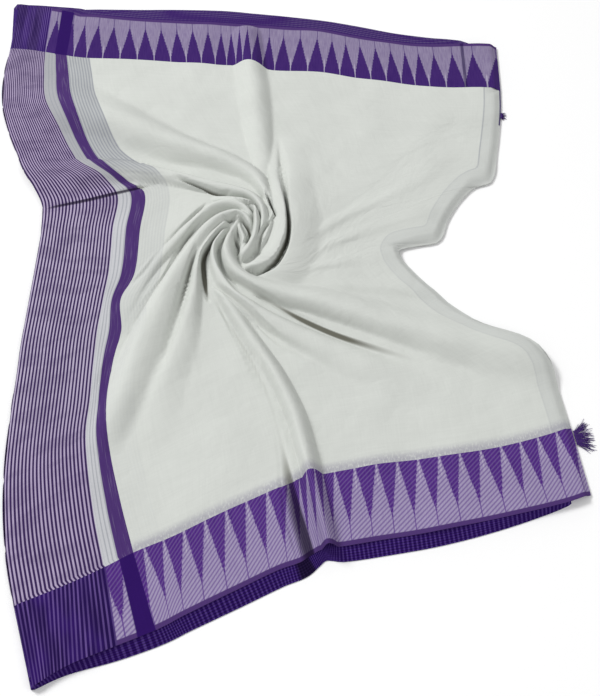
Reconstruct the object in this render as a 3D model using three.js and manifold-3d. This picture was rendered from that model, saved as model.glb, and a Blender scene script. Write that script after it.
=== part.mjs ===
// A handloom cotton saree, folded along its length into eight layers and laid flat.
// The top layer is pinched at one point and turned, which draws it into a swirl of
// folds. Millimetres, +Z up, +Y across the cloth's width, away from the near hem.
// Cloth places are u, measured along the saree from the folded end of the layers,
// and v, measured across it from the near selvedge.

import * as THREE from 'three';
import { mergeVertices } from 'three/addons/utils/BufferGeometryUtils.js';
import Module from 'manifold-3d';

const wasm = await Module();
wasm.setup();

// Driving dimensions of the cloth
const CLOTH_WIDTH = 1150;
const BORDER_WIDTH = 92;
const WALL = 1.2;
const GAP = 0.3;
const FAR_SEAM = CLOTH_WIDTH - BORDER_WIDTH;
const STRIPES_END = 112;
const BAND_END = 145;

// Where the origin, the middle of the whole, lies in the tables' own frame
const ORIGIN_X = -5.91;
const ORIGIN_Y = 2.25;

// Driving dimensions of the folded layers
const LEAF_COUNT = 3;
const LEAF_THICKNESS = 3;
const LEAF_STEP = 2.5;
const LEAF_NOSE = [[0.12, 0.9], [0.5, 0], [0.88, 0.9]];
const TOP_INSET = 9;
const STACK_TOP = LEAF_COUNT * LEAF_THICKNESS;
const REST_LEVEL = STACK_TOP + GAP + WALL;
const FOLD_ROUND = 8;
const FOLD_INSET = 3.7;
const END_DROOP_WIDTH = 20;
const END_LEVEL = 3.2;

// Driving dimensions of the swirl
const SWIRL_X = -18;
const SWIRL_Y = 54;
const SWIRL_RISE = 13;
const SWIRL_SPREAD = 125;
const RIM_RADIUS = 50;
const RIM_RISE = 12;
const RIM_INSIDE = 24;
const RIM_OUTSIDE = 17;

// A table's rows, read as objects with the named columns
function table(columns, rows) {
  return rows.map((row) => Object.fromEntries(columns.map((column, i) => [column, row[i]])));
}

// The near border, from the folded end to the cut end: its seam with the body, its
// selvedge, and how far the layers below reach past that selvedge
const NEAR_BORDER = table(['u', 'seamX', 'seamY', 'edgeX', 'edgeY', 'reveal'], [
  [0, -273, -459, -241, -550, 1],
  [55, -221, -437, -205, -527, 7],
  [110, -172, -414, -150, -504, 14],
  [BAND_END, -139, -396, -106, -486, 16],
  [200, -92, -375, -74, -469, 17],
  [260, -37, -346, -18, -441, 18],
  [315, 14, -322, 31, -417, 18],
  [352, 48, -307, 56, -408, 17],
  [385, 60, -301, 70, -399, 15],
  [420, 73, -297, 83, -392, 12],
  [455, 87, -296, 95, -389, 14],
  [480, 102, -293, 110, -388, 16],
  [535, 156, -283, 162, -379, 17],
  [590, 210, -276, 217, -370, 16],
  [645, 264, -268, 273, -358, 14],
  [700, 318, -257, 331, -345, 9],
  [760, 371, -242, 386, -331, 2],
  [790, 401, -231, 413, -321, -5],
]);

const FAR_BORDER = table(['u', 'seamX', 'seamY', 'edgeX', 'edgeY', 'reveal'], [
  [0, -410, 438, -412, 541, 8],
  [60, -350, 429, -355, 530, 15],
  [STRIPES_END, -304, 418, -309, 516, 22],
  [BAND_END, -275, 414, -278, 513, 25],
  [210, -201, 412, -210, 505, 32],
  [270, -135, 406, -145, 500, 37],
  [330, -77, 401, -82, 496, 39],
  [375, -46, 399, -50, 493, 39],
  [410, -29, 397, -30, 491, 38],
  [445, -5, 392, -6, 488, 38],
  [480, 22, 388, 24, 486, 36],
  [540, 89, 385, 92, 479, 32],
  [600, 150, 371, 146, 465, 33],
  [660, 210, 361, 206, 452, 30],
  [720, 265, 352, 262, 446, 26],
  [770, 325, 352, 326, 448, 15],
  [800, 371, 351, 374, 447, -5],
]);

// The striped end of the cloth, from the near border to the far one: the folded
// edge, the end of the stripes and the far side of the broad band
const END_PIECE = table(['v', 'foldX', 'foldY', 'stripeX', 'stripeY', 'bandX', 'bandY'], [
  [BORDER_WIDTH, -273, -459, -172, -414, -139, -396],
  [170, -293, -390, -193, -340, -160, -333],
  [260, -308, -302, -211, -250, -181, -258],
  [340, -313, -215, -212, -187, -190, -186],
  [400, -314, -150, -213, -122, -187, -129],
  [440, -315, -110, -213, -86, -181, -91],
  [490, -314, -55, -210, -43, -186, -43],
  [540, -313, 0, -207, 0, -171, 0],
  [620, -312, 72, -208, 80, -169, 75],
  [680, -316, 122, -207, 138, -168, 140],
  [720, -330, 152, -230, 170, -196, 164],
  [760, -349, 182, -264, 192, -228, 190],
  [800, -367, 222, -284, 222, -249, 217],
  [860, -386, 266, -306, 265, -271, 262],
  [920, -403, 318, -333, 318, -294, 324],
  [1000, -411, 385, -341, 385, -300, 380],
  [FAR_SEAM, -410, 438, -304, 418, -275, 414],
]);

// The cut end, from the near border to the far one, drawn in where the swirl pulls
const CUT_END = table(['v', 'x', 'y', 'reveal'], [
  [BORDER_WIDTH, 401, -231, -28],
  [150, 392, -175, -30],
  [195, 383, -134, -30],
  [235, 360, -101, -28],
  [290, 302, -74, -25],
  [340, 261, -43, -28],
  [390, 231, -10, -28],
  [440, 203, 26, -32],
  [480, 198, 45, -34],
  [520, 224, 53, -34],
  [560, 254, 61, -34],
  [620, 270, 98, -37],
  [680, 289, 131, -36],
  [720, 312, 157, -32],
  [770, 340, 171, -30],
  [840, 353, 225, -28],
  [930, 366, 300, -28],
  [FAR_SEAM, 371, 351, -28],
]);

// How far the cloth is turned at each radius from the middle of the swirl
const TURNS = table(['radius', 'degrees'], [
  [0, 215],
  [20, 180],
  [35, 140],
  [50, 98],
  [70, 66],
  [90, 46],
  [110, 29],
  [140, 18],
  [180, 11],
  [250, 5],
  [340, 0],
  [700, 0],
]);

// The folds that the swirl draws up. Each runs in along a spiral: bearing is its
// direction far out in degrees, turn its share of the turning, near and far its half
// widths beside the swirl and far out, skew moves its foot to the anticlockwise side,
// and lean pushes its crest sideways.
const FOLD_COLUMNS = ['name', 'bearing', 'turn', 'from', 'to', 'high', 'near', 'far', 'skew', 'lean'];
const RIDGES = table(FOLD_COLUMNS, [
  ['upper band', 126, 1.25, 78, 420, 13, 17, 62, -0.4, 0.3],
  ['upper roll', 150, 1.9, 95, 360, 17, 15, 34, 0.1, 0.35],
  ['upper roll end', 139, 0.95, 26, 150, 18, 14, 22, 0, 0.3],
  ['notch lip', 166, 2.5, 180, 520, 15, 20, 46, -0.45, 0.45],
  ['left roll', 222, 1.15, 58, 260, 13, 12, 30, 0, 0.15],
  ['left middle roll', 234, 1.0, 26, 360, 17, 13, 50, 0.35, 0.2],
  ['left outer roll', 256, 0.95, 58, 330, 8, 13, 40, -0.3, -0.2],
  ['hem puff', 275, 1.1, 120, 620, 6, 16, 60, -0.45, 0],
  ['hem pleat', 287, 1.05, 85, 640, 17, 12, 24, 0, 0],
  ['hem facet', 296, 0.95, 110, 520, 6, 12, 40, -0.5, 0],
  ['lower roll', 317, 1.12, 46, 360, 14, 13, 46, -0.3, -0.2],
  ['long roll', 334, 0.86, 30, 520, 18, 14, 58, 0.3, -0.35],
  ['right wrinkle', 350, 0.8, 85, 330, 5, 14, 34, 0.3, 0],
  ['right middle wrinkle', 9, 0.84, 76, 280, 6, 14, 30, 0.2, 0],
  ['right upper wrinkle', 24, 0.63, 76, 330, 6, 14, 36, 0.3, 0],
  ['right loose roll', 55, 0.6, 80, 300, 4, 18, 50, 0, 0],
  ['upright fold', 92, 0.6, 74, 560, 18, 12, 26, -0.3, -0.25],
  ['upright wrinkle', 112, 1.0, 84, 230, 7, 10, 22, 0, 0],
]);
const CREASES = table(FOLD_COLUMNS, [
  ['under the upper roll', 150, 1.03, 55, 160, 6, 6, 9, 0, 0],
  ['pocket', 282, 1.09, 40, 130, 14, 9, 12, 0, 0],
  ['left outer crease', 245, 0.76, 66, 350, 5, 7, 12, 0, 0],
  ['left inner crease', 229, 1.02, 62, 270, 5, 6, 10, 0, 0],
  ['long crease', 324, 0.96, 36, 450, 6, 7, 14, 0, 0],
  ['lower crease', 306, 1.12, 80, 260, 4, 7, 14, 0, 0],
]);
const RIDGE_BLEND = 2.6;
const NEAR_RADIUS = 60;
const FAR_RADIUS = 300;

// Where the grids of the stretches are cut
const NEAR_STATIONS = [BAND_END, 190, 235, 280, 320, 345, 365, 385, 405, 425, 445, 465, 485, 520, 560, 600,
  640, 680, 720, 755, 769, 779, 790];
const FAR_STATIONS = [BAND_END, 190, 235, 280, 325, 355, 378, 395, 410, 428, 450, 480, 520, 565, 610, 655,
  700, 745, 778, 789, 800];
const END_U = [0, 0.8, 2.6, 5.5, 10, 22, 50, 82, STRIPES_END, BAND_END];
const END_V = [BORDER_WIDTH, 130, 170, 215, 260, 300, 340, 380, 415, 450, 490, 530, 575, 620, 650, 680, 700, 722,
  745, 770, 800, 835, 870, 910, 955, 1005, FAR_SEAM];
const CUT_V = [BORDER_WIDTH, 135, 175, 215, 260, 310, 360, 410, 450, 485, 520, 560, 610, 660, 710, 760, 820, 890,
  970, FAR_SEAM];
const BORDER_FRACTIONS = [0, 0.33, 0.67, 1];
const INNER_RADII = [7, 14, 22, 30, 38, 46, 54, 63, 73, 85, 100, 118, 140];
const OUTER_FRACTIONS = [0.14, 0.3, 0.48, 0.68, 1];
const EDGE_STEPS = [34, 21, 10, 0];
const MOUND_RADII = [24, 48, 75, 110, 160];
const MOUND_SHARE = 0.8;

const degrees = (radians) => radians * 180 / Math.PI;
const radians = (angle) => angle * Math.PI / 180;
const clamp = (value, low, high) => Math.min(high, Math.max(low, value));
const mix = (a, b, t) => a + (b - a) * t;

function smoothstep(low, high, value) {
  const t = clamp((value - low) / (high - low), 0, 1);
  return t * t * (3 - 2 * t);
}

// A column of a table at a place between its rows, on a cubic through them
function read(rows, key, at, column) {
  let i = rows.findIndex((row) => row[key] >= at);
  i = i < 0 ? rows.length - 1 : Math.max(1, i);
  const slope = (j) => {
    const a = rows[Math.max(0, j - 1)];
    const b = rows[Math.min(rows.length - 1, j + 1)];
    return (b[column] - a[column]) / (b[key] - a[key]);
  };
  const step = rows[i][key] - rows[i - 1][key];
  const t = clamp((at - rows[i - 1][key]) / step, 0, 1);
  const t2 = t * t;
  const t3 = t2 * t;
  return rows[i - 1][column] * (2 * t3 - 3 * t2 + 1) + slope(i - 1) * step * (t3 - 2 * t2 + t)
    + rows[i][column] * (3 * t2 - 2 * t3) + slope(i) * step * (t3 - t2);
}

// The shortest distance from a point to a line of points
function distanceTo(line, x, y) {
  let best = Infinity;
  for (let i = 1; i < line.length; i += 1) {
    const [ax, ay] = line[i - 1];
    const dx = line[i][0] - ax;
    const dy = line[i][1] - ay;
    const t = clamp(((x - ax) * dx + (y - ay) * dy) / (dx * dx + dy * dy), 0, 1);
    best = Math.min(best, Math.hypot(x - ax - t * dx, y - ay - t * dy));
  }
  return best;
}

const pointsOf = (rows, xColumn, yColumn) => rows.map((row) => [row[xColumn], row[yColumn]]);
const lastOf = (rows) => rows[rows.length - 1];
const FOLD_LINE = [
  [NEAR_BORDER[0].edgeX, NEAR_BORDER[0].edgeY],
  ...pointsOf(END_PIECE, 'foldX', 'foldY'),
  [FAR_BORDER[0].edgeX, FAR_BORDER[0].edgeY],
];
const END_LINE = [
  [lastOf(NEAR_BORDER).edgeX, lastOf(NEAR_BORDER).edgeY],
  ...pointsOf(CUT_END, 'x', 'y'),
  [lastOf(FAR_BORDER).edgeX, lastOf(FAR_BORDER).edgeY],
];

// The level of the cloth without its folds: it lies on the layers, bends round their
// folded end in a quarter circle, and droops past them to the floor at the cut end
function restLevel(x, y) {
  const inFromFold = clamp(distanceTo(FOLD_LINE, x, y) / FOLD_ROUND, 0, 1);
  const round = Math.sqrt(1 - (1 - inFromFold) ** 2);
  const flat = mix(WALL, REST_LEVEL, round);
  return mix(END_LEVEL, flat, smoothstep(0, END_DROOP_WIDTH, distanceTo(END_LINE, x, y)));
}

// An angle in degrees brought into the half turn to either side of zero
function signedAngle(angle) {
  return angle - 360 * Math.round(angle / 360);
}

function swirlMound(radius) {
  return SWIRL_RISE * Math.exp(-((radius / SWIRL_SPREAD) ** 2));
}

// One fold at a point: its height there and the sideways direction across it
function foldAt(fold, radius, angle) {
  const turned = read(TURNS, 'radius', radius, 'degrees');
  const turning = read(TURNS, 'radius', radius + 1, 'degrees') - turned;
  const crest = fold.bearing - fold.turn * turned;
  const aside = signedAngle(angle - crest);
  const pitch = Math.atan(radius * fold.turn * radians(turning));
  const across = radius * radians(aside) * Math.cos(pitch);
  const half = mix(fold.near, fold.far, smoothstep(NEAR_RADIUS, FAR_RADIUS, radius));
  const width = half * (across > 0 ? 1 + fold.skew : 1 - fold.skew);
  const t = Math.min(1, Math.abs(across) / width);
  const length = fold.to - fold.from;
  const rise = smoothstep(fold.from, fold.from + Math.min(30, length / 3), radius);
  const fade = 1 - smoothstep(fold.to - 0.4 * length, fold.to, radius);
  return { high: fold.high * rise * fade * (1 - t * t) ** 2, side: radians(angle + 90) - pitch };
}

// The upper face of the top layer over a point of the plan: the rest level, the mound
// and rim of the swirl, the ridges blended over each other, and less the creases
function clothTop(x, y) {
  const dx = x - SWIRL_X;
  const dy = y - SWIRL_Y;
  const radius = Math.hypot(dx, dy);
  const angle = degrees(Math.atan2(dy, dx));
  const rimWidth = radius < RIM_RADIUS ? RIM_INSIDE : RIM_OUTSIDE;
  const rim = RIM_RISE * Math.exp(-(((radius - RIM_RADIUS) / rimWidth) ** 2));
  let ridges = rim ** RIDGE_BLEND;
  let shiftX = 0;
  let shiftY = 0;
  for (const ridge of RIDGES) {
    const { high, side } = foldAt(ridge, radius, angle);
    ridges += high ** RIDGE_BLEND;
    shiftX += ridge.lean * high * Math.cos(side);
    shiftY += ridge.lean * high * Math.sin(side);
  }
  const creases = CREASES.reduce((sum, crease) => sum + foldAt(crease, radius, angle).high, 0);
  const lift = Math.max(0, ridges ** (1 / RIDGE_BLEND) - creases);
  const still = smoothstep(0, 40, distanceTo(FOLD_LINE, x, y));
  const level = restLevel(x, y) + swirlMound(radius) + lift;
  return new THREE.Vector3(x + shiftX * still, y + shiftY * still, level);
}

// The two faces of the cloth over a point of the plan: the upper one, and the lower
// one a wall's thickness inside it
function clothFaces([x, y]) {
  const step = 1.5;
  const along = clothTop(x + step, y).sub(clothTop(x - step, y));
  const across = clothTop(x, y + step).sub(clothTop(x, y - step));
  const normal = along.cross(across).normalize();
  const upper = clothTop(x, y);
  return { upper, lower: upper.clone().addScaledVector(normal, -WALL) };
}

// A closed solid from rows of points, upper faces above lower ones, joined round its rim
function sheetSolid(rows) {
  const rowLength = rows[0].length;
  const faces = rows.flat().map(clothFaces);
  const positions = [...faces.map((f) => f.upper), ...faces.map((f) => f.lower)];
  const count = faces.length;
  const index = [];
  const at = (i, j) => i * rowLength + j;
  const quad = (a, b, c, d) => index.push(a, b, c, a, c, d);
  for (let i = 1; i < rows.length; i += 1) {
    for (let j = 1; j < rowLength; j += 1) {
      const [a, b, c, d] = [at(i - 1, j - 1), at(i - 1, j), at(i, j), at(i, j - 1)];
      quad(a, b, c, d);
      quad(a + count, d + count, c + count, b + count);
    }
  }
  const rim = [];
  for (let j = 0; j < rowLength - 1; j += 1) rim.push(at(0, j));
  for (let i = 0; i < rows.length - 1; i += 1) rim.push(at(i, rowLength - 1));
  for (let j = rowLength - 1; j > 0; j -= 1) rim.push(at(rows.length - 1, j));
  for (let i = rows.length - 1; i > 0; i -= 1) rim.push(at(i, 0));
  rim.forEach((a, k) => {
    const b = rim[(k + 1) % rim.length];
    quad(b, a, a + count, b + count);
  });
  return solidGeometry(positions, index);
}

function solidGeometry(positions, index) {
  const geometry = new THREE.BufferGeometry();
  const numbers = positions.flatMap((point) => point.toArray());
  geometry.setAttribute('position', new THREE.Float32BufferAttribute(numbers, 3));
  geometry.setIndex(index);
  geometry.computeVertexNormals();
  return geometry;
}

// A border: rows across the cloth from its selvedge to its seam, or back again
function borderRows(rows, stations, fractions) {
  return stations.map((u) => fractions.map((f) => [
    mix(read(rows, 'u', u, 'edgeX'), read(rows, 'u', u, 'seamX'), f),
    mix(read(rows, 'u', u, 'edgeY'), read(rows, 'u', u, 'seamY'), f),
  ]));
}

const seamShare = 1 - GAP / 2 / BORDER_WIDTH;
const borderFractions = BORDER_FRACTIONS.map((f) => f * seamShare);
const endStations = END_U.slice(0, -1);

function nearBorder() {
  const rows = borderRows(NEAR_BORDER, [...endStations, ...NEAR_STATIONS], borderFractions);
  return sheetSolid(rows[0].map((_, j) => rows.map((row) => row[j])));
}

function farBorder() {
  const rows = borderRows(FAR_BORDER, [...endStations, ...FAR_STATIONS], [...borderFractions].reverse());
  return sheetSolid(rows[0].map((_, j) => rows.map((row) => row[j])));
}

// A point of the striped end, between its three lines
function endPoint(u, v) {
  const line = (name) => [read(END_PIECE, 'v', v, `${name}X`), read(END_PIECE, 'v', v, `${name}Y`)];
  const [from, to, t] = u <= STRIPES_END
    ? ['fold', 'stripe', u / STRIPES_END]
    : ['stripe', 'band', (u - STRIPES_END) / (BAND_END - STRIPES_END)];
  const a = line(from);
  const b = line(to);
  return [mix(a[0], b[0], t), mix(a[1], b[1], t)];
}

function seamPoint(rows, u) {
  return [read(rows, 'u', u, 'seamX'), read(rows, 'u', u, 'seamY')];
}

// The ends of the stripes lie on the borders' seams, so the first and last rows of the
// striped end take their points from there
function stripedEnd() {
  const pull = GAP / 2;
  const seam = (rows, by) => movedAside(END_U.map((u) => seamPoint(rows, u)), by);
  const inner = movedAside(END_V.map((v) => endPoint(BAND_END, v)), -pull);
  const rows = END_V.map((v, i) => [...END_U.slice(0, -1).map((u) => endPoint(u, v)), inner[i]]);
  rows[0] = seam(NEAR_BORDER, -pull);
  rows[rows.length - 1] = seam(FAR_BORDER, pull);
  for (const row of [rows[0], lastOf(rows)]) row[row.length - 1][0] -= pull;
  return sheetSolid(rows);
}

// Points of a line moved sideways, to the right of the way that it runs
function movedAside(line, distance, closed = false) {
  const n = line.length;
  return line.map(([x, y, reveal], i) => {
    const before = closed ? line[(i + n - 1) % n] : line[Math.max(0, i - 1)];
    const after = closed ? line[(i + 1) % n] : line[Math.min(n - 1, i + 1)];
    const right = new THREE.Vector2(after[1] - before[1], before[0] - after[0]).normalize();
    const by = typeof distance === 'function' ? distance(reveal) : distance;
    return [x + right.x * by, y + right.y * by];
  });
}

// The loop of points round the body, anticlockwise from the corner by the striped end
function bodyLoop() {
  const near = NEAR_STATIONS.map((u) => seamPoint(NEAR_BORDER, u));
  const cut = CUT_V.slice(1, -1).map((v) => [read(CUT_END, 'v', v, 'x'), read(CUT_END, 'v', v, 'y')]);
  const far = FAR_STATIONS.map((u) => seamPoint(FAR_BORDER, u)).reverse();
  const end = END_V.slice(1, -1).map((v) => endPoint(BAND_END, v)).reverse();
  return movedAside([...near, ...cut, ...far, ...end], -GAP / 2, true);
}

// A ring of points round the swirl, turned with it: its radius on each spoke comes
// from the spoke's reach
function bodyRing(loop, radiusOf) {
  return loop.map(([x, y]) => {
    const reach = Math.hypot(x - SWIRL_X, y - SWIRL_Y);
    const bearing = degrees(Math.atan2(y - SWIRL_Y, x - SWIRL_X));
    const r = radiusOf(reach);
    const turned = read(TURNS, 'radius', r, 'degrees') * (1 - (r / reach) ** 2);
    const angle = radians(bearing - turned);
    return [SWIRL_X + r * Math.cos(angle), SWIRL_Y + r * Math.sin(angle)];
  });
}

// The body of the cloth, in rings from the swirl's middle to its seams
function body() {
  const loop = bodyLoop();
  const lastInner = lastOf(INNER_RADII);
  const rings = [
    ...INNER_RADII.map((radius) => bodyRing(loop, () => radius)),
    ...OUTER_FRACTIONS.slice(0, -1).map((share) => bodyRing(loop, (reach) => (
      mix(lastInner, reach - EDGE_STEPS[0], share)))),
    ...EDGE_STEPS.map((step) => bodyRing(loop, (reach) => reach - step)),
  ];
  const faces = [...rings.flat(), [SWIRL_X, SWIRL_Y]].map(clothFaces);
  const positions = [...faces.map((f) => f.upper), ...faces.map((f) => f.lower)];
  const count = faces.length;
  const index = [];
  const n = loop.length;
  const centre = count - 1;
  for (let j = 0; j < n; j += 1) {
    const k = (j + 1) % n;
    index.push(centre, j, k, centre + count, k + count, j + count);
    for (let i = 1; i < rings.length; i += 1) {
      const [a, b, c, d] = [(i - 1) * n + j, i * n + j, i * n + k, (i - 1) * n + k];
      index.push(a, b, c, a, c, d);
      index.push(a + count, c + count, b + count, a + count, d + count, c + count);
    }
    const [a, b] = [(rings.length - 1) * n + j, (rings.length - 1) * n + k];
    index.push(a, a + count, b + count, a, b + count, b);
  }
  return solidGeometry(positions, index);
}

// The outline of the layers below, from the top layer's own edges moved out or in
function layerLoop() {
  const edge = (rows, u) => ['edgeX', 'edgeY', 'reveal'].map((column) => read(rows, 'u', u, column));
  const every = (list, step) => list.filter((_, i) => i % step === 0);
  const near = every([8, 55, 100, ...NEAR_STATIONS], 2).map((u) => edge(NEAR_BORDER, u));
  const cutPoint = (v) => ['x', 'y', 'reveal'].map((column) => read(CUT_END, 'v', v, column));
  const cut = CUT_V.slice(1, -1).map(cutPoint);
  const far = every([8, 55, 100, ...FAR_STATIONS], 2).map((u) => edge(FAR_BORDER, u)).reverse();
  const end = every(END_V, 2).map((v) => [...endPoint(0, v), -FOLD_INSET]).reverse();
  return [...near, ...cut, ...far, ...end];
}

// The hidden layers as one solid: rounded leaves stepped at the edges, a flat
// underside, and a low mound on top under the swirl
function foldedLayers() {
  const loop = layerLoop();
  const rings = [];
  const ring = (points, level) => rings.push(points.map(([x, y]) => new THREE.Vector3(x, y, level)));
  for (let leaf = 0; leaf < LEAF_COUNT; leaf += 1) {
    const share = 1 - leaf / LEAF_COUNT;
    const reach = (reveal) => (reveal > 0 ? reveal * share : reveal - LEAF_STEP * leaf);
    for (const [height, inset] of LEAF_NOSE) {
      const lowest = leaf === 0 && height < 0.5;
      const level = (leaf + (lowest ? 0 : height)) * LEAF_THICKNESS;
      ring(movedAside(loop, (reveal) => reach(reveal) - inset, true), level);
    }
  }
  ring(movedAside(loop, (reveal) => Math.min(reveal, 0) - TOP_INSET, true), STACK_TOP);
  for (const radius of [...MOUND_RADII].reverse()) {
    const points = loop.map(([x, y]) => {
      const angle = Math.atan2(y - SWIRL_Y, x - SWIRL_X);
      return [SWIRL_X + radius * Math.cos(angle), SWIRL_Y + radius * Math.sin(angle)];
    });
    ring(points, STACK_TOP + MOUND_SHARE * swirlMound(radius) * (radius === MOUND_RADII.at(-1) ? 0 : 1));
  }
  const n = loop.length;
  const positions = rings.flat();
  const top = new THREE.Vector3(SWIRL_X, SWIRL_Y, STACK_TOP + MOUND_SHARE * swirlMound(0));
  positions.push(top, new THREE.Vector3(SWIRL_X, SWIRL_Y, 0));
  const index = [];
  for (let j = 0; j < n; j += 1) {
    const k = (j + 1) % n;
    for (let i = 1; i < rings.length; i += 1) {
      const [a, b, c, d] = [(i - 1) * n + j, (i - 1) * n + k, i * n + k, i * n + j];
      index.push(a, b, c, a, c, d);
    }
    const last = (rings.length - 1) * n;
    index.push(last + j, last + k, rings.length * n);
    index.push(k, j, rings.length * n + 1);
  }
  return solidGeometry(positions, index);
}

// Loose threads at the cut end: strands that fan out of one narrow strip and sink
// towards the floor
const TUFTS = table(['name', 'x', 'y', 'facing', 'stripLong', 'count', 'long', 'spread'], [
  ['near_end_threads', 404.3, -243, 7.6, 20, 22, 18, 80],
  ['far_end_threads', 367.1, 300, -8, 10, 8, 9, 60],
]);
const STRIP_WIDE = 2.4;
const STRIP_THICK = 1.6;
const STRIP_LEVEL = 2.4;
const STRAND_WIDE = 0.9;
const STRAND_TIP = 0.5;
const STRAND_END = 0.8;
const STRAND_BEND = 0.45;
const STRAND_LENGTHS = [1, 0.87, 0.55, 0.45, 0.82, 0.98, 0.6];
const STRAND_INSET = 0.6;

function toManifold(geometry) {
  const bare = new THREE.BufferGeometry();
  bare.setAttribute('position', geometry.getAttribute('position'));
  bare.setIndex(geometry.index);
  const merged = mergeVertices(bare, 1e-4);
  return new wasm.Manifold(new wasm.Mesh({
    numProp: 3,
    vertProperties: new Float32Array(merged.getAttribute('position').array),
    triVerts: new Uint32Array(merged.index.array),
  }));
}

function fromManifold(solid) {
  const mesh = solid.getMesh();
  const geometry = new THREE.BufferGeometry();
  geometry.setAttribute('position', new THREE.BufferAttribute(mesh.vertProperties, 3));
  geometry.setIndex(new THREE.BufferAttribute(mesh.triVerts, 1));
  return geometry;
}

// One strand: a square section carried along three points, narrowing to its tip
function strand(points) {
  const corners = [[-1, -1], [1, -1], [1, 1], [-1, 1]];
  const heading = points.at(-1).clone().sub(points[0]).setZ(0).normalize();
  const aside = new THREE.Vector3(-heading.y, heading.x, 0);
  const positions = points.flatMap((point, i) => {
    const half = mix(STRAND_WIDE, STRAND_TIP, i / (points.length - 1)) / 2;
    return corners.map(([a, b]) => point.clone().addScaledVector(aside, a * half).setZ(point.z + b * half));
  });
  const index = [0, 3, 2, 0, 2, 1];
  for (let i = 0; i < points.length - 1; i += 1) {
    for (let j = 0; j < 4; j += 1) {
      const k = (j + 1) % 4;
      const [a, b, c, d] = [4 * i + j, 4 * i + k, 4 * i + 4 + k, 4 * i + 4 + j];
      index.push(a, b, c, a, c, d);
    }
  }
  const last = 4 * (points.length - 1);
  index.push(last, last + 1, last + 2, last, last + 2, last + 3);
  return solidGeometry(positions, index);
}

function tuft({ x, y, facing, stripLong, count, long, spread }) {
  const strip = new THREE.BoxGeometry(STRIP_WIDE, stripLong, STRIP_THICK);
  strip.rotateZ(radians(facing));
  strip.translate(x, y, STRIP_LEVEL);
  let solid = toManifold(strip);
  const forward = new THREE.Vector3(Math.cos(radians(facing)), Math.sin(radians(facing)), 0);
  const side = new THREE.Vector3(-forward.y, forward.x, 0);
  for (let i = 0; i < count; i += 1) {
    const place = (i + 0.5) / count - 0.5;
    const length = long * STRAND_LENGTHS[i % STRAND_LENGTHS.length];
    const angle = radians(facing + place * spread);
    const heading = new THREE.Vector3(Math.cos(angle), Math.sin(angle), 0);
    const root = new THREE.Vector3(x, y, STRIP_LEVEL).addScaledVector(side, place * (stripLong - 2 * STRAND_INSET));
    const start = root.clone().addScaledVector(forward, STRIP_WIDE / 2);
    const middle = start.clone().addScaledVector(heading, length * STRAND_BEND);
    const tip = start.clone().addScaledVector(heading, length).setZ(STRAND_END);
    solid = solid.add(toManifold(strand([root, middle, tip])));
  }
  return fromManifold(solid);
}

const group = new THREE.Group();
group.position.set(ORIGIN_X, ORIGIN_Y, 0);

function place(name, geometry, color, roughness) {
  const material = new THREE.MeshStandardMaterial({ color, roughness, metalness: 0 });
  const mesh = new THREE.Mesh(geometry, material);
  mesh.name = name;
  group.add(mesh);
}

place('folded_layers', foldedLayers(), 0xb9b4bd, 0.9);
place('body_field', body(), 0xd9dcd6, 0.88);
place('near_border', nearBorder(), 0x4b2c8c, 0.85);
place('far_border', farBorder(), 0x4b2c8c, 0.85);
place('striped_end', stripedEnd(), 0x8d7ba8, 0.87);
for (const row of TUFTS) place(row.name, tuft(row), 0x4a2a88, 0.9);

export default group;
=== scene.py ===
"""The looks of a folded saree: its cloth shells, their finishes, the light and the camera.

Lengths in the tables are millimetres in the tables' own frame, and a cloth place is u,
along the saree from the folded end, and v, across it from the near selvedge.
"""

import logging
import math
from dataclasses import dataclass
from enum import Enum

import bpy
import numpy as np
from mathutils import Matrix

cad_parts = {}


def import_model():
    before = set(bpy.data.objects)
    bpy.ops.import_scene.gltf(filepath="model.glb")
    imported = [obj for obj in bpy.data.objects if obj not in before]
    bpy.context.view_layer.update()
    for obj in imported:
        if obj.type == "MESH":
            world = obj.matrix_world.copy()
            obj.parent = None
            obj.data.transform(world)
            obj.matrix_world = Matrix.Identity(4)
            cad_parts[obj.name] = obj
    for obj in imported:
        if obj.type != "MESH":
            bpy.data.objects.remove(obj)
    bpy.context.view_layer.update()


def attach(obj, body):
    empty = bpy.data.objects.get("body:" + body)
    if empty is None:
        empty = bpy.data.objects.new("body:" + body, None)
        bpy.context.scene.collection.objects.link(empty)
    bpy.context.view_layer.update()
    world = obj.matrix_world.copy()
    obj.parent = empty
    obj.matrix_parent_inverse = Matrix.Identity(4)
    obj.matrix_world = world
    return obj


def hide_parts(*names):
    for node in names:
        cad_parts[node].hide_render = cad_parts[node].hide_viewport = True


logger = logging.getLogger("saree")

MM = 0.001
ORIGIN = np.array([-5.91, 2.25, 0.0])

CLOTH_WIDTH = 1150.0
BORDER_WIDTH = 92.0
FAR_SEAM = CLOTH_WIDTH - BORDER_WIDTH
STRIPES_END = 112.0
BAND_START = 128.0
BAND_END = 145.0
FINE_LINES_END = 181.0
CUT_U = 795.0
NEAR_END = 790.0
FAR_END = 800.0
FAR_SHIFT = 1200.0
FAR_MARK = 1100.0

SHEET_THICKNESS = 0.9
STACK_TOP = 9.0
REST_LEVEL = 10.5
FOLD_ROUND = 8.0
FOLD_FOOT = 1.2
END_DROOP_WIDTH = 12.0
END_LEVEL = 3.2

SWIRL = np.array([-18.0, 54.0])
SWIRL_RISE = 13.0
SWIRL_SPREAD = 125.0
SWIRL_CLOTH = np.array([330.0, 600.0])
RIDGE_BLEND = 5.0
CREASE_UNIT = 18.0

SHARP_DEGREES = 80.0
ONE_TURN = 2 * math.pi
TINY = 1e-9

Array = np.ndarray


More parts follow.
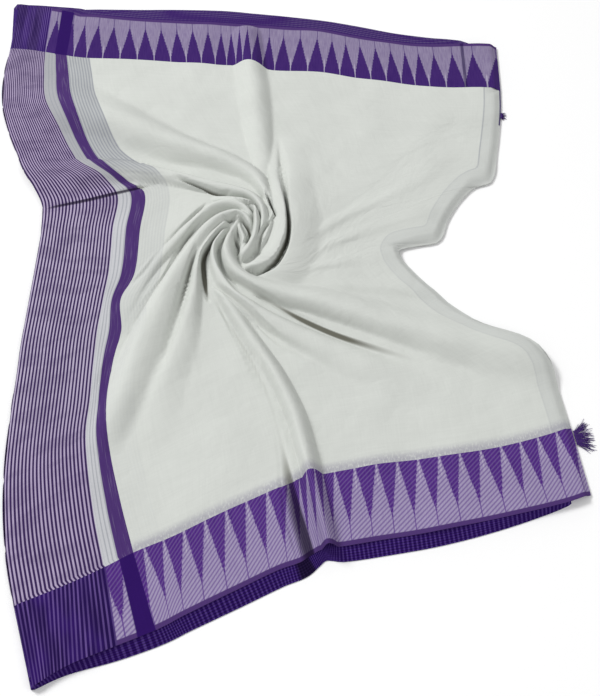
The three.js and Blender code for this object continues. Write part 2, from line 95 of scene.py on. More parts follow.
@dataclass(frozen=True)
class Table:
    """Rows of numbers with named columns; the first column is the key."""

    columns: tuple[str, ...]
    rows: tuple[tuple[float, ...], ...]

    def column(self, name: str) -> Array:
        """Returns one column as an array."""
        at = self.columns.index(name)
        return np.array([row[at] for row in self.rows], float)

    def read(self, name: str, key: Array) -> Array:
        """Reads a column between its rows, on a cubic through them.

        Args:
            name: the column's name.
            key: places along the key column.

        Returns:
            The column's values there.
        """
        return cubic(key, self.column(self.columns[0]), self.column(name))

    def points(self, x_name: str, y_name: str) -> Array:
        """Returns two columns as points, one row each."""
        return np.stack([self.column(x_name), self.column(y_name)], 1)

    def line(self, x_name: str, y_name: str, key: Array) -> Array:
        """Reads two columns as points of a line, one row for each key."""
        return np.stack([self.read(x_name, key), self.read(y_name, key)], axis=-1)


def cubic(at: Array, keys: Array, values: Array) -> Array:
    """A cubic Hermite curve through values at keys, with slopes from their neighbours.

    Args:
        at: places along the keys, of any shape.
        keys: rising places.
        values: the value at each.

    Returns:
        The curve's values at the places.
    """
    at = np.clip(at, keys[0], keys[-1])
    slopes = np.empty_like(values)
    slopes[1:-1] = (values[2:] - values[:-2]) / (keys[2:] - keys[:-2])
    slopes[0] = (values[1] - values[0]) / (keys[1] - keys[0])
    slopes[-1] = (values[-1] - values[-2]) / (keys[-1] - keys[-2])
    i = np.clip(np.searchsorted(keys, at, side="left") - 1, 0, len(keys) - 2)
    step = keys[i + 1] - keys[i]
    t = (at - keys[i]) / step
    return (
        values[i] * (2 * t**3 - 3 * t**2 + 1)
        + slopes[i] * step * (t**3 - 2 * t**2 + t)
        + values[i + 1] * (3 * t**2 - 2 * t**3)
        + slopes[i + 1] * step * (t**3 - t**2)
    )


def smoothstep(low: float, high: float, value: Array) -> Array:
    """Rises from 0 at low to 1 at high as t * t * (3 - 2 * t), with level ends."""
    t = np.clip((value - low) / (high - low), 0, 1)
    return t * t * (3 - 2 * t)


NEAR_BORDER = Table(
    ("u", "seam_x", "seam_y", "edge_x", "edge_y", "reveal"),
    (
        (0, -273, -459, -241, -550, 1),
        (55, -221, -437, -205, -527, 7),
        (110, -172, -414, -150, -504, 14),
        (145, -139, -396, -106, -486, 16),
        (200, -92, -375, -74, -469, 17),
        (260, -37, -346, -18, -441, 18),
        (315, 14, -322, 31, -417, 18),
        (352, 48, -307, 56, -408, 17),
        (385, 60, -301, 70, -399, 15),
        (420, 73, -297, 83, -392, 12),
        (455, 87, -296, 95, -389, 14),
        (480, 102, -293, 110, -388, 16),
        (535, 156, -283, 162, -379, 17),
        (590, 210, -276, 217, -370, 16),
        (645, 264, -268, 273, -358, 14),
        (700, 318, -257, 331, -345, 9),
        (760, 371, -242, 386, -331, 2),
        (790, 401, -231, 413, -321, -5),
    ),
)

FAR_BORDER = Table(
    ("u", "seam_x", "seam_y", "edge_x", "edge_y", "reveal"),
    (
        (0, -410, 438, -412, 541, 8),
        (56, -379, 434, -383, 536, 12),
        (112, -350, 429, -352, 530, 15),
        (145, -315, 421, -314, 520, 21),
        (157, -304, 418, -304, 516, 22),
        (187, -275, 414, -275, 513, 25),
        (248, -201, 412, -208, 505, 32),
        (304, -135, 406, -145, 500, 37),
        (360, -77, 401, -82, 496, 39),
        (402, -46, 399, -50, 493, 39),
        (435, -29, 397, -30, 491, 38),
        (468, -5, 392, -6, 488, 38),
        (500, 22, 388, 24, 486, 36),
        (557, 89, 385, 92, 479, 32),
        (613, 150, 371, 146, 465, 33),
        (669, 210, 361, 206, 452, 30),
        (725, 265, 352, 262, 446, 26),
        (772, 325, 352, 326, 448, 15),
        (800, 371, 351, 374, 447, -5),
    ),
)

END_PIECE = Table(
    ("v", "fold_x", "fold_y", "stripe_x", "stripe_y", "band_x", "band_y"),
    (
        (92, -273, -459, -172, -414, -139, -396),
        (170, -293, -390, -193, -340, -160, -333),
        (260, -308, -302, -211, -250, -181, -258),
        (340, -313, -215, -212, -187, -190, -186),
        (400, -314, -150, -213, -122, -187, -129),
        (440, -315, -110, -213, -86, -181, -91),
        (490, -314, -55, -210, -43, -186, -43),
        (540, -313, 0, -207, 0, -171, 0),
        (620, -312, 72, -208, 80, -169, 75),
        (680, -316, 122, -207, 138, -168, 140),
        (720, -330, 152, -230, 170, -196, 164),
        (760, -349, 182, -264, 192, -228, 190),
        (800, -367, 222, -284, 222, -249, 217),
        (860, -386, 266, -306, 265, -271, 262),
        (920, -403, 318, -333, 318, -294, 324),
        (1000, -411, 385, -346, 386, -307, 381),
        (1058, -410, 438, -350, 429, -315, 421),
    ),
)

CUT_END = Table(
    ("v", "x", "y", "reveal"),
    (
        (92, 401, -231, -28),
        (150, 392, -175, -30),
        (195, 383, -134, -30),
        (235, 360, -101, -28),
        (290, 302, -74, -25),
        (340, 261, -43, -28),
        (390, 231, -10, -28),
        (440, 203, 26, -32),
        (480, 198, 45, -34),
        (520, 224, 53, -34),
        (560, 254, 61, -34),
        (620, 270, 98, -37),
        (680, 289, 131, -36),
        (720, 312, 157, -32),
        (770, 340, 171, -30),
        (840, 353, 225, -28),
        (930, 366, 300, -28),
        (1058, 371, 351, -28),
    ),
)

TURNS = Table(
    ("radius", "degrees"),
    (
        (0, 215), (20, 180), (35, 140), (50, 98), (70, 66), (90, 46),
        (110, 29), (140, 18), (180, 11), (250, 5), (340, 0), (700, 0),
    ),
)


@dataclass(frozen=True)
class Fold:
    """A ridge or a crease along a line of points.

    Each row holds x, y, height, and the half widths to the left and right of the way
    that the line runs. The height falls across the fold as (1 - t^2)^foot, where t is
    the share of the half width. The foot nears SOFT_FOOT on a side that is wide, by
    WIDE_SIDE, and lean pushes the crest to the right by that share of its height.
    """

    name: str
    foot: float
    lean: float
    rows: tuple[tuple[float, ...], ...]

    SOFT_FOOT = 1.7
    WIDE_SIDE = (14.0, 36.0)
    LEAST_WIDTH = 0.5
    STEPS = 6

    def refined(self) -> Array:
        """The line with STEPS points in each span, on a cubic through its rows.

        Returns:
            Rows like the fold's own, with no height under 0.
        """
        rows = np.array(self.rows, float)
        keys = np.arange(len(rows), dtype=float)
        at = np.linspace(0, len(rows) - 1, (len(rows) - 1) * self.STEPS + 1)
        fine = np.stack([cubic(at, keys, rows[:, k]) for k in range(rows.shape[1])], 1)
        fine[:, 2] = np.maximum(fine[:, 2], 0)
        return fine

    def lift(self, x: Array, y: Array) -> tuple[Array, Array, Array]:
        """The fold over points of the plan.

        Args:
            x: plan places along x.
            y: plan places along y.

        Returns:
            The height there and the sideways push along x and y.
        """
        fine = self.refined()
        pad = fine[:, 3:].max() + 1
        low, high = fine[:, :2].min(0) - pad, fine[:, :2].max(0) + pad
        near = (x > low[0]) & (x < high[0]) & (y > low[1]) & (y < high[1])
        px, py = x[near], y[near]
        best = np.full(px.shape, np.inf)
        height, half = np.zeros(px.shape), np.ones(px.shape)
        side_x, side_y = np.zeros(px.shape), np.zeros(px.shape)
        for a, b in zip(fine[:-1], fine[1:]):
            run = b[:2] - a[:2]
            length = math.hypot(*run) + TINY
            t = np.clip(((px - a[0]) * run[0] + (py - a[1]) * run[1]) / length**2, 0, 1)
            off_x, off_y = px - a[0] - t * run[0], py - a[1] - t * run[1]
            away = np.hypot(off_x, off_y)
            left = run[0] * off_y - run[1] * off_x > 0
            width = np.where(left, a[3] + (b[3] - a[3]) * t, a[4] + (b[4] - a[4]) * t)
            closer = away < best
            best = np.where(closer, away, best)
            height = np.where(closer, a[2] + (b[2] - a[2]) * t, height)
            half = np.where(closer, width, half)
            side_x = np.where(closer, run[1] / length, side_x)
            side_y = np.where(closer, -run[0] / length, side_y)
        share = np.minimum(1, best / np.maximum(half, self.LEAST_WIDTH))
        lift = np.zeros(x.shape)
        softer = max(0.0, self.SOFT_FOOT - self.foot)
        foot = self.foot + softer * smoothstep(*self.WIDE_SIDE, half)
        lift[near] = height * (1 - share**2) ** foot
        push_x, push_y = np.zeros(x.shape), np.zeros(x.shape)
        push_x[near], push_y[near] = side_x, side_y
        return lift, push_x * lift * self.lean, push_y * lift * self.lean


# Ridges and creases, traced along the folds, in millimetres
RIDGES: tuple[Fold, ...] = (
    Fold("upper band", 1.1, 0.0, (
        (-380, 355, 0, 60, 60), (-310, 317, 13, 60, 54), (-244, 284, 22, 52, 44),
        (-181, 251, 25, 44, 36), (-119, 219, 24, 34, 26), (-60, 195, 19, 26, 17),
        (-15, 168, 15, 20, 12), (4, 137, 15, 13, 8), (13, 110, 15, 9, 5), (18, 88, 14, 6, 5),
        (13, 60, 13, 5, 5), (5, 38, 11, 5, 4), (-4, 27, 0, 5, 4),
    )),
    Fold("upper roll", 0.7, 0.2, (
        (-392, 182, 0, 24, 50), (-353, 182, 9, 22, 52), (-294, 187, 12, 18, 52),
        (-236, 190, 13, 14, 40), (-192, 188, 14, 11, 28), (-147, 177, 15, 9, 19),
        (-87, 155, 16, 9, 15), (-43, 139, 17, 10, 11), (-14, 127, 17, 9, 8), (2, 108, 17, 8, 6),
        (8, 85, 16, 7, 5), (6, 59, 14, 6, 5), (-1, 37, 12, 5, 5), (-7, 29, 0, 5, 5),
    )),
    Fold("upper inner roll", 0.6, 0.1, (
        (-70, 129, 0, 4, 6), (-50, 120, 12, 5, 8), (-28, 115, 15, 6, 8), (-11, 107, 16, 6, 7),
        (-2, 94, 15, 5, 5), (1, 79, 12, 5, 5), (0, 60, 8, 4, 5), (-4, 39, 0, 4, 4),
    )),
    Fold("left outer roll", 0.7, 0.0, (
        (-193, -98, 0, 16, 10), (-167, -32, 3, 16, 8), (-143, 12, 6, 14, 7), (-117, 47, 9, 12, 7),
        (-90, 79, 12, 9, 8), (-67, 103, 15, 8, 9), (-45, 109, 16, 8, 8), (-26, 104, 15, 7, 7),
        (-13, 89, 12, 6, 6), (-8, 82, 0, 5, 5),
    )),
    Fold("left middle roll", 0.75, 0.0, (
        (-194, -272, 0, 20, 10), (-182, -238, 9, 26, 20), (-172, -202, 15, 28, 30),
        (-158, -145, 17, 26, 34), (-145, -88, 16, 22, 34), (-133, -51, 16, 18, 30),
        (-116, -11, 16, 14, 24), (-94, 31, 17, 10, 16), (-75, 62, 17, 10, 12), (-55, 82, 17, 9, 9),
        (-35, 90, 16, 9, 8), (-20, 84, 14, 8, 6), (-13, 71, 10, 6, 5), (-12, 63, 0, 5, 5),
    )),
    Fold("left inner roll", 0.8, 0.0, (
        (-143, -250, 0, 20, 40), (-121, -169, 6, 14, 34), (-101, -104, 9, 9, 26),
        (-90, -57, 11, 8, 14), (-85, -24, 12, 8, 7), (-83, 2, 13, 8, 5), (-77, 26, 13, 8, 4),
        (-65, 49, 13, 8, 4), (-52, 68, 12, 6, 4), (-42, 88, 0, 5, 4),
    )),
    Fold("lower roll", 0.75, 0.0, (
        (224, -183, 0, 34, 26), (148, -146, 8, 32, 22), (83, -114, 11, 24, 17),
        (31, -86, 13, 18, 13), (-9, -60, 15, 14, 10), (-34, -40, 16, 11, 8), (-52, -13, 16, 9, 6),
        (-61, 12, 16, 6, 5), (-61, 34, 15, 5, 5), (-52, 54, 12, 4, 5), (-43, 79, 0, 4, 4),
    )),
    Fold("long roll", 0.75, 0.0, (
        (447, -156, 0, 40, 44), (356, -131, 15, 40, 50), (279, -114, 17, 34, 48),
        (228, -101, 18, 26, 44), (150, -76, 17, 18, 40), (84, -56, 18, 14, 32),
        (30, -40, 17, 12, 24), (-3, -28, 17, 11, 16), (-25, -13, 17, 10, 13), (-39, 6, 17, 8, 12),
        (-45, 26, 17, 7, 12), (-42, 44, 16, 6, 10), (-36, 59, 14, 5, 7), (-31, 78, 6, 4, 4),
        (-29, 88, 0, 4, 4),
    )),
    Fold("small petal", 0.7, 0.0, (
        (-30, 83, 0, 3, 4), (-26, 60, 13, 4, 4), (-21, 45, 15, 5, 5), (-21, 30, 14, 5, 5),
        (-25, 22, 10, 4, 5), (-28, 19, 0, 4, 4),
    )),
    Fold("narrow petal", 0.6, 0.0, (
        (-6, 114, 0, 4, 3), (-5, 92, 16, 4, 4), (-3, 68, 18, 6, 6), (-6, 44, 18, 7, 7),
        (-14, 27, 16, 7, 7), (-22, 17, 13, 6, 6), (-27, 14, 0, 4, 4),
    )),
    Fold("broad petal", 0.4, 0.0, (
        (15, 243, 0, 9, 10), (22, 171, 8, 6, 12), (28, 140, 12, 4, 14), (34, 110, 16, 3.6, 20),
        (38, 81, 18, 3.5, 26), (36, 54, 18, 3.5, 30), (30, 29, 18, 4, 30), (19, 11, 17, 4, 24),
        (4, 2, 16, 4, 16), (-12, -1, 13, 4, 8), (-25, 3, 0, 4, 8),
    )),
    Fold("outer shoulder", 0.9, 0.0, (
        (31, 263, 0, 34, 8), (38, 198, 5, 38, 6), (41, 145, 9, 40, 4), (44, 104, 12, 44, 4),
        (47, 73, 13, 46, 4), (45, 42, 13, 44, 4), (38, 19, 12, 42, 4), (27, 0, 11, 38, 4),
        (12, -10, 9, 34, 4), (-4, -16, 6, 28, 4), (-16, -17, 0, 20, 4),
    )),
    Fold("upright fold", 0.8, 0.0, (
        (-30, 465, 13, 26, 26), (-21, 395, 15, 26, 27), (-14, 342, 15, 26, 27),
        (-8, 291, 14, 24, 26), (-3, 242, 12, 20, 22), (3, 199, 8, 14, 16), (6, 170, 0, 10, 10),
    )),
    Fold("hem pleat", 1.1, 0.0, (
        (92, -398, 15, 7, 12), (82, -355, 20, 8, 14), (72, -313, 21, 9, 16),
        (62, -270, 20, 10, 18), (47, -215, 19, 10, 18), (21, -157, 17, 9, 16),
        (-6, -112, 14, 8, 14), (-31, -71, 11, 7, 12), (-48, -43, 9, 6, 9), (-61, -21, 0, 5, 8),
    )),
    Fold("right wrinkle", 1.6, 0.0, (
        (271, 186, 0, 9, 14), (202, 146, 2, 9, 14), (128, 100, 3, 9, 13), (82, 65, 2.5, 8, 11),
        (54, 41, 0, 8, 8),
    )),
    Fold("right middle wrinkle", 1.6, 0.0, (
        (258, 115, 0, 9, 14), (171, 80, 2, 9, 14), (106, 50, 2.5, 8, 12), (57, 23, 0, 8, 8),
    )),
    Fold("right lower wrinkle", 1.6, 0.0, (
        (254, 50, 0, 9, 14), (169, 32, 2, 9, 14), (98, 12, 2.5, 8, 12), (46, -2, 0, 8, 8),
    )),
    Fold("right far wrinkle", 1.6, 0.0, (
        (303, -29, 0, 12, 18), (234, -28, 3, 12, 18), (153, -23, 3.5, 10, 16),
        (84, -19, 0, 10, 12),
    )),
)

CREASES: tuple[Fold, ...] = (
    Fold("under the upper roll", 0.8, 0.0, (
        (-126, 165, 0, 3, 3), (-102, 153, 12, 2.5, 3.5), (-78, 142, 15, 2.5, 3.5),
        (-58, 133, 14, 2.5, 3), (-40, 131, 0, 2, 3),
    )),
    Fold("pocket", 0.8, 0.0, (
        (-38, 76, 0, 2, 2), (-52, 61, 9, 2, 2), (-65, 43, 11, 2, 2.5), (-74, 25, 14, 3, 3.5),
        (-76, 9, 18, 4, 4.5), (-73, -14, 18, 4, 5), (-70, -32, 13, 3, 4), (-65, -51, 0, 2, 3),
    )),
    Fold("left crease", 1.0, 0.0, (
        (-84, 35, 0, 3, 3), (-91, 13, 9, 3, 3.5), (-99, -22, 9, 3, 5), (-107, -65, 6, 4, 7),
        (-116, -118, 3, 5, 8), (-125, -177, 0, 6, 8),
    )),
    Fold("left outer crease", 0.9, 0.0, (
        (-74, 119, 0, 2.5, 2.5), (-90, 101, 6, 2.5, 3), (-111, 73, 5, 3, 3), (-137, 35, 4, 4, 4),
        (-158, 0, 4, 5, 4), (-183, -29, 0, 5, 5),
    )),
    Fold("left inner crease", 0.9, 0.0, (
        (-73, 92, 0, 2.5, 2.5), (-93, 67, 7, 2.5, 3), (-114, 30, 8, 3, 3), (-130, -10, 7, 4, 4),
        (-154, -53, 7, 4, 5), (-174, -101, 6, 5, 5), (-192, -143, 4, 5, 6), (-205, -184, 0, 6, 6),
    )),
    Fold("long crease", 0.9, 0.0, (
        (-57, 47, 0, 2, 2.5), (-54, 21, 6, 2.5, 3), (-44, -5, 7, 3, 3), (-19, -27, 7, 3, 3.5),
        (24, -52, 9, 4, 4.5), (60, -75, 15, 5.5, 5.5), (103, -97, 16, 6, 6), (149, -115, 10, 8, 8),
        (213, -137, 5, 9, 10), (289, -161, 3, 11, 12), (364, -187, 0, 12, 12),
    )),
    Fold("lower crease", 0.9, 0.0, (
        (-63, -23, 0, 3, 3), (-44, -38, 7, 3, 3.5), (-10, -68, 7, 4, 5), (31, -107, 5, 6, 7),
        (96, -146, 0, 8, 9),
    )),
    Fold("slit", 0.8, 0.0, (
        (8, 131, 0, 2, 2), (13, 116, 11, 2, 2.5), (19, 97, 12, 2, 2.5), (25, 81, 0, 2, 2),
    )),
    Fold("petal crease", 0.9, 0.0, (
        (25, 90, 0, 2, 2), (16, 75, 6, 2, 2.5), (7, 54, 7, 2, 3), (1, 32, 7, 2, 3),
        (-9, 17, 0, 2, 3),
    )),
    Fold("inner slit", 0.8, 0.0, (
        (-36, 119, 0, 2, 2), (-20, 109, 8, 2, 2.5), (-5, 104, 11, 2, 3), (2, 91, 11, 2, 2),
        (4, 76, 0, 2, 2),
    )),
    Fold("centre slit", 0.8, 0.0, (
        (-52, 80, 0, 2, 2), (-43, 80, 9, 2, 2.5), (-30, 87, 4, 2, 2), (-18, 73, 11, 2, 3),
        (-13, 60, 12, 3, 3), (-15, 46, 6, 2, 2), (-23, 27, 0, 2, 2),
    )),
    Fold("centre crease", 0.8, 0.0, (
        (-35, 59, 0, 2, 2), (-33, 47, 8, 2, 3), (-28, 35, 8, 2, 3), (-27, 20, 6, 2, 3),
        (-25, 4, 0, 2, 2),
    )),
    Fold("outer gap", 0.8, 0.0, (
        (31, 144, 0, 2, 2), (37, 111, 10, 2, 2), (40, 78, 15, 2.4, 2.4), (39, 52, 15, 2.4, 2.4),
        (32, 28, 15, 2.2, 2.2), (23, 11, 13, 2, 2), (11, 0, 11, 2, 2), (-1, -8, 9, 2, 2),
        (-12, -13, 0, 2, 2),
    )),
    Fold("hem crease", 0.9, 0.0, (
        (-57, -45, 0, 3, 3.5), (-33, -89, 7, 4, 4), (-1, -149, 7, 6, 6), (19, -200, 6, 6, 6),
        (33, -254, 6, 5, 7), (45, -301, 11, 5, 14), (55, -340, 13, 5, 20), (64, -373, 14, 6, 20),
        (72, -402, 13, 6, 18), (79, -424, 0, 5, 10),
    )),
    Fold("striped end crease", 0.8, 0.0, (
        (-315, 111, 0, 3, 3), (-295, 118, 12, 3, 4), (-252, 130, 14, 3, 6), (-210, 143, 14, 3, 6),
        (-175, 152, 12, 3, 4), (-146, 160, 0, 3, 3),
    )),
)


def mound_at(radius: Array) -> Array:
    """The swirl's broad rise at a distance from its middle."""
    return SWIRL_RISE * np.exp(-((radius / SWIRL_SPREAD) ** 2))


def distance_to(line: Array, x: Array, y: Array) -> Array:
    """The shortest distance from points of the plan to a line.

    Args:
        line: the line's points, one row each.
        x: plan places along x, of any shape.
        y: plan places along y, of the same shape.

    Returns:
        The distances, in the shape of x.
    """
    best = np.full(x.shape, np.inf)
    for a, b in zip(line[:-1], line[1:]):
        run = b - a
        t = np.clip(((x - a[0]) * run[0] + (y - a[1]) * run[1]) / (run @ run), 0, 1)
        best = np.minimum(best, np.hypot(x - a[0] - t * run[0], y - a[1] - t * run[1]))
    return best


@dataclass(frozen=True)
class Undulation:
    """Low soft waves in flat cloth: a sum of sine waves in seeded directions."""

    seed: int
    waves: int = 14
    amplitude: float = 0.9
    pitches: tuple[float, float] = (55.0, 190.0)

    def lift(self, x: Array, y: Array) -> Array:
        """The waves over points of the plan.

        Args:
            x: plan places along x.
            y: plan places along y.

        Returns:
            Their height there.
        """
        random = np.random.default_rng(self.seed)
        total = np.zeros(x.shape)
        for _ in range(self.waves):
            angle = random.uniform(0, ONE_TURN)
            pitch = random.uniform(*self.pitches)
            phase = random.uniform(0, ONE_TURN)
            along = x * math.cos(angle) + y * math.sin(angle)
            total += np.sin(ONE_TURN * along / pitch + phase)
        return self.amplitude * total / math.sqrt(self.waves / 2)


class Relief:
    """The form of the top layer's upper face over any point of the plan.

    Folds lean fully past LEAN_FADE from the folded edge, and waves stand fully past
    WAVE_FADE from both ends. The waves are raised by WAVE_LIFT, and no crease cuts
    deeper than to MOUND_FLOOR of the swirl's rise.
    """

    LEAN_FADE = 40.0
    WAVE_FADE = 60.0
    WAVE_LIFT = 0.6
    MOUND_FLOOR = 0.45

    def __init__(self) -> None:
        """Sets the lines of the folded edge and the cut end, and the waves."""
        self.fold_line = self.joined(0.0, END_PIECE.points("fold_x", "fold_y"), 0.0)
        self.end_line = self.joined(NEAR_END, CUT_END.points("x", "y"), FAR_END)
        self.undulation = Undulation(seed=7)

    @staticmethod
    def joined(near_u: float, middle: Array, far_u: float) -> Array:
        """Joins a line to the near selvedge at near_u and to the far one at far_u."""
        near = NEAR_BORDER.line("edge_x", "edge_y", np.array([near_u]))
        return np.vstack([near, middle, FAR_BORDER.line("edge_x", "edge_y", np.array([far_u]))])

    @staticmethod
    def rest(from_fold: Array, from_end: Array) -> Array:
        """The level of the cloth without folds: flat on the layers, bent round their
        folded end in a quarter circle, and drooping to the floor at the cut end.

        Args:
            from_fold: distances from the folded edge.
            from_end: distances from the cut end.

        Returns:
            The levels there.
        """
        share = np.clip(from_fold / FOLD_ROUND, 0, 1)
        flat = FOLD_FOOT + (REST_LEVEL - FOLD_FOOT) * np.sqrt(1 - (1 - share) ** 2)
        return END_LEVEL + (flat - END_LEVEL) * smoothstep(0, END_DROOP_WIDTH, from_end)

    @staticmethod
    def cut(x: Array, y: Array) -> Array:
        """How deep the deepest crease cuts at points of the plan, in millimetres."""
        return np.maximum.reduce([crease.lift(x, y)[0] for crease in CREASES])

    def surface(self, x: Array, y: Array, cut: Array) -> Array:
        """The upper face over points of the plan.

        Ridges are blended by a power mean so that they meet in creases, and the
        creases are cut out of them.

        Args:
            x: plan places along x, of any shape.
            y: plan places along y, of the same shape.
            cut: how deep the creases cut there.

        Returns:
            Points with a last axis of three, in millimetres.
        """
        blended = np.zeros(x.shape)
        push_x, push_y = np.zeros(x.shape), np.zeros(x.shape)
        for ridge in RIDGES:
            lift, side_x, side_y = ridge.lift(x, y)
            blended += lift**RIDGE_BLEND
            push_x += side_x
            push_y += side_y
        from_fold, from_end = distance_to(self.fold_line, x, y), distance_to(self.end_line, x, y)
        rest = self.rest(from_fold, from_end)
        mound = mound_at(np.hypot(x - SWIRL[0], y - SWIRL[1]))
        still = smoothstep(0, self.LEAN_FADE, from_fold)
        held = smoothstep(0, self.WAVE_FADE, np.minimum(from_fold, from_end))
        waves = (self.undulation.lift(x, y) + self.WAVE_LIFT) * held
        level = rest + mound + blended ** (1 / RIDGE_BLEND) - cut + np.maximum(waves, 0)
        level = np.maximum(level, rest + self.MOUND_FLOOR * mound)
        return np.stack([x + push_x * still, y + push_y * still, level], axis=-1)


def fan(ring: Array, following: Array, pole: int) -> Array:
    """Triangles from a ring's sides to a pole, as quads that name the pole twice.

    Args:
        ring: the vertex number at the start of each side.
        following: the vertex number at its end.
        pole: the vertex number of the pole.

    Returns:
        One row of four numbers for each side.
    """
    poles = np.full(len(ring), pole)
    return np.stack([ring, following, poles, poles], -1)


def tube_faces(rows: int, count: int) -> Array:
    """The faces of closed rings of points joined up, with a pole past each end.

    Args:
        rows: the number of rings.
        count: the number of points in each.

    Returns:
        The sides, then the first ring's fan and the last ring's. The first pole is
        numbered next after the rings, and the last pole after it.
    """
    number = np.arange(rows * count).reshape(rows, count)
    beside = np.roll(number, -1, axis=1)
    sides = np.stack([number[:-1], beside[:-1], beside[1:], number[1:]], -1)
    first = fan(beside[0], number[0], number.size)
    last = fan(number[-1], beside[-1], number.size + 1)
    return np.concatenate([sides.reshape(-1, 4), first, last])


@dataclass
class Shell:
    """A sheet as a closed thin shell: a grid of upper points, or one closed on itself."""

    name: str
    top: Array
    cloth: Array
    shade: Array
    wraps: bool = False
    lower_step: int = 1

    UPRIGHT = 0.5
    SIDE_REACH = 2

    def normals(self) -> Array:
        """Unit normals of the upper points, leaned upright so that steep walls stay thin.

        Returns:
            The cross product of the grid's two differences at each point, made a unit
            long, with UPRIGHT added along z and made a unit long again.
        """
        if self.wraps:
            padded = np.concatenate([self.top[:, -1:], self.top, self.top[:, :1]], axis=1)
            across = padded[:, 2:] - padded[:, :-2]
        else:
            across = np.gradient(self.top, axis=1)
        normal = np.cross(np.gradient(self.top, axis=0), across)
        length = np.linalg.norm(normal, axis=-1, keepdims=True)
        normal = normal / np.maximum(length, TINY)
        normal = np.where(normal[..., 2:] < 0, -normal, normal) + np.array([0, 0, self.UPRIGHT])
        return normal / np.linalg.norm(normal, axis=-1, keepdims=True)

    def lower(self) -> tuple[Array, Array]:
        """The lower face's rows: every so many of the upper ones, a thickness below the
        lowest upper point round each.

        Returns:
            The points, and the numbers of the rows that they lie under.
        """
        rows = np.arange(self.top.shape[0])
        under = self.top - self.normals() * SHEET_THICKNESS
        step = self.lower_step
        if step == 1:
            return under, rows
        kept = np.append(rows[:-1:step], rows[-1])
        level = under[..., 2].copy()
        for shift in range(1, self.SIDE_REACH + 1):
            level = np.minimum(level, np.roll(under[..., 2], shift, axis=1))
            level = np.minimum(level, np.roll(under[..., 2], -shift, axis=1))
        lowest = level.copy()
        for shift in range(1, step + 1):
            lowest[shift:] = np.minimum(lowest[shift:], level[:-shift])
            lowest[:-shift] = np.minimum(lowest[:-shift], level[shift:])
        lowest[-1] = under[-1, :, 2]
        under[..., 2] = lowest
        return under[kept], kept

    def build(self) -> bpy.types.Object:
        """Makes the mesh of the upper face, the lower face and the rim between them.

        Returns:
            The linked object, with its cloth UV map.
        """
        rows, columns = self.top.shape[:2]
        lower, kept = self.lower()
        points = np.concatenate([self.top.reshape(-1, 3), lower.reshape(-1, 3)])
        cloth = np.concatenate([self.cloth.reshape(-1, 2), self.cloth[kept].reshape(-1, 2)])
        shade = np.concatenate([self.shade.ravel(), self.shade[kept].ravel()])
        upper_number = np.arange(rows * columns).reshape(rows, columns)
        lower_number = rows * columns + np.arange(len(kept) * columns).reshape(-1, columns)
        if self.wraps:
            upper_number = np.concatenate([upper_number, upper_number[:, :1]], axis=1)
            lower_number = np.concatenate([lower_number, lower_number[:, :1]], axis=1)
        upper = self.quads(upper_number)
        faces = [upper, self.quads(lower_number)[:, ::-1]]
        if self.wraps:
            count = len(points)
            points = np.vstack([points, self.top[0].mean(0), lower[0].mean(0)])
            cloth = np.vstack([cloth, np.tile(self.cloth[0].mean(0), (2, 1))])
            shade = np.append(shade, [self.shade[0].mean()] * 2)
            ring, low_ring = upper_number[0], lower_number[0]
            faces.append(fan(ring[1:], ring[:-1], count))
            faces.append(fan(low_ring[:-1], low_ring[1:], count + 1))
            edge, low_edge = upper_number[-1], lower_number[-1]
        else:
            edge, low_edge = self.rim(upper_number), self.rim(lower_number)
        faces.append(np.stack([edge[:-1], edge[1:], low_edge[1:], low_edge[:-1]], -1))
        return make_object(self.name, points, np.concatenate(faces), cloth, upper, shade)

    @staticmethod
    def quads(number: Array) -> Array:
        """The quads of a grid of vertex numbers."""
        corners = number[:-1, :-1], number[:-1, 1:], number[1:, 1:], number[1:, :-1]
        return np.stack(corners, -1).reshape(-1, 4)

    @staticmethod
    def rim(number: Array) -> Array:
        """The numbers round a grid's edge, in the turn that its rim faces need."""
        loop = [number[0, :], number[1:, -1], number[-1, -2::-1], number[-2::-1, 0]]
        return np.concatenate(loop)[::-1]


def make_object(
    name: str, points: Array, faces: Array, cloth: Array, up_faces: Array,
    shade: Array | None = None,
) -> bpy.types.Object:
    """Makes a smooth mesh object from points in millimetres of the tables' frame.

    Args:
        name: the object's name.
        points: one row for each vertex.
        faces: quads of vertex numbers; a repeated number makes a triangle.
        cloth: u and v of each vertex in millimetres.
        up_faces: the quads that face up, used to turn all faces outward.
        shade: how deep in a crease each vertex lies, as the attribute "crease" for painted shade.

    Returns:
        The linked object.
    """
    a, b, c = (points[up_faces[:, k]] for k in range(3))
    if np.cross(b - a, c - a)[:, 2].sum() < 0:
        faces = faces[:, ::-1]
    placed = (points + ORIGIN) * MM
    mesh = bpy.data.meshes.new(name)
    lists = [list(dict.fromkeys(face)) for face in faces.tolist()]
    mesh.from_pydata(placed.tolist(), [], lists)
    layer = mesh.uv_layers.new(name="cloth")
    corner = np.zeros(len(mesh.loops), np.int32)
    mesh.loops.foreach_get("vertex_index", corner)
    layer.data.foreach_set("uv", (cloth[corner] * MM).astype(np.float32).ravel())
    if shade is not None:
        # The creases' depth, which the finishes use to paint shade into them.
        stored = mesh.attributes.new("crease", "FLOAT", "POINT")
        stored.data.foreach_set("value", shade.astype(np.float32))
    mesh.polygons.foreach_set("use_smooth", np.ones(len(mesh.polygons), bool))
    mesh.update()
    mesh.set_sharp_from_angle(angle=math.radians(SHARP_DEGREES))
    thing = bpy.data.objects.new(name, mesh)
    bpy.context.scene.collection.objects.link(thing)
    logger.info("%s: %d faces", name, len(mesh.polygons))
    return thing


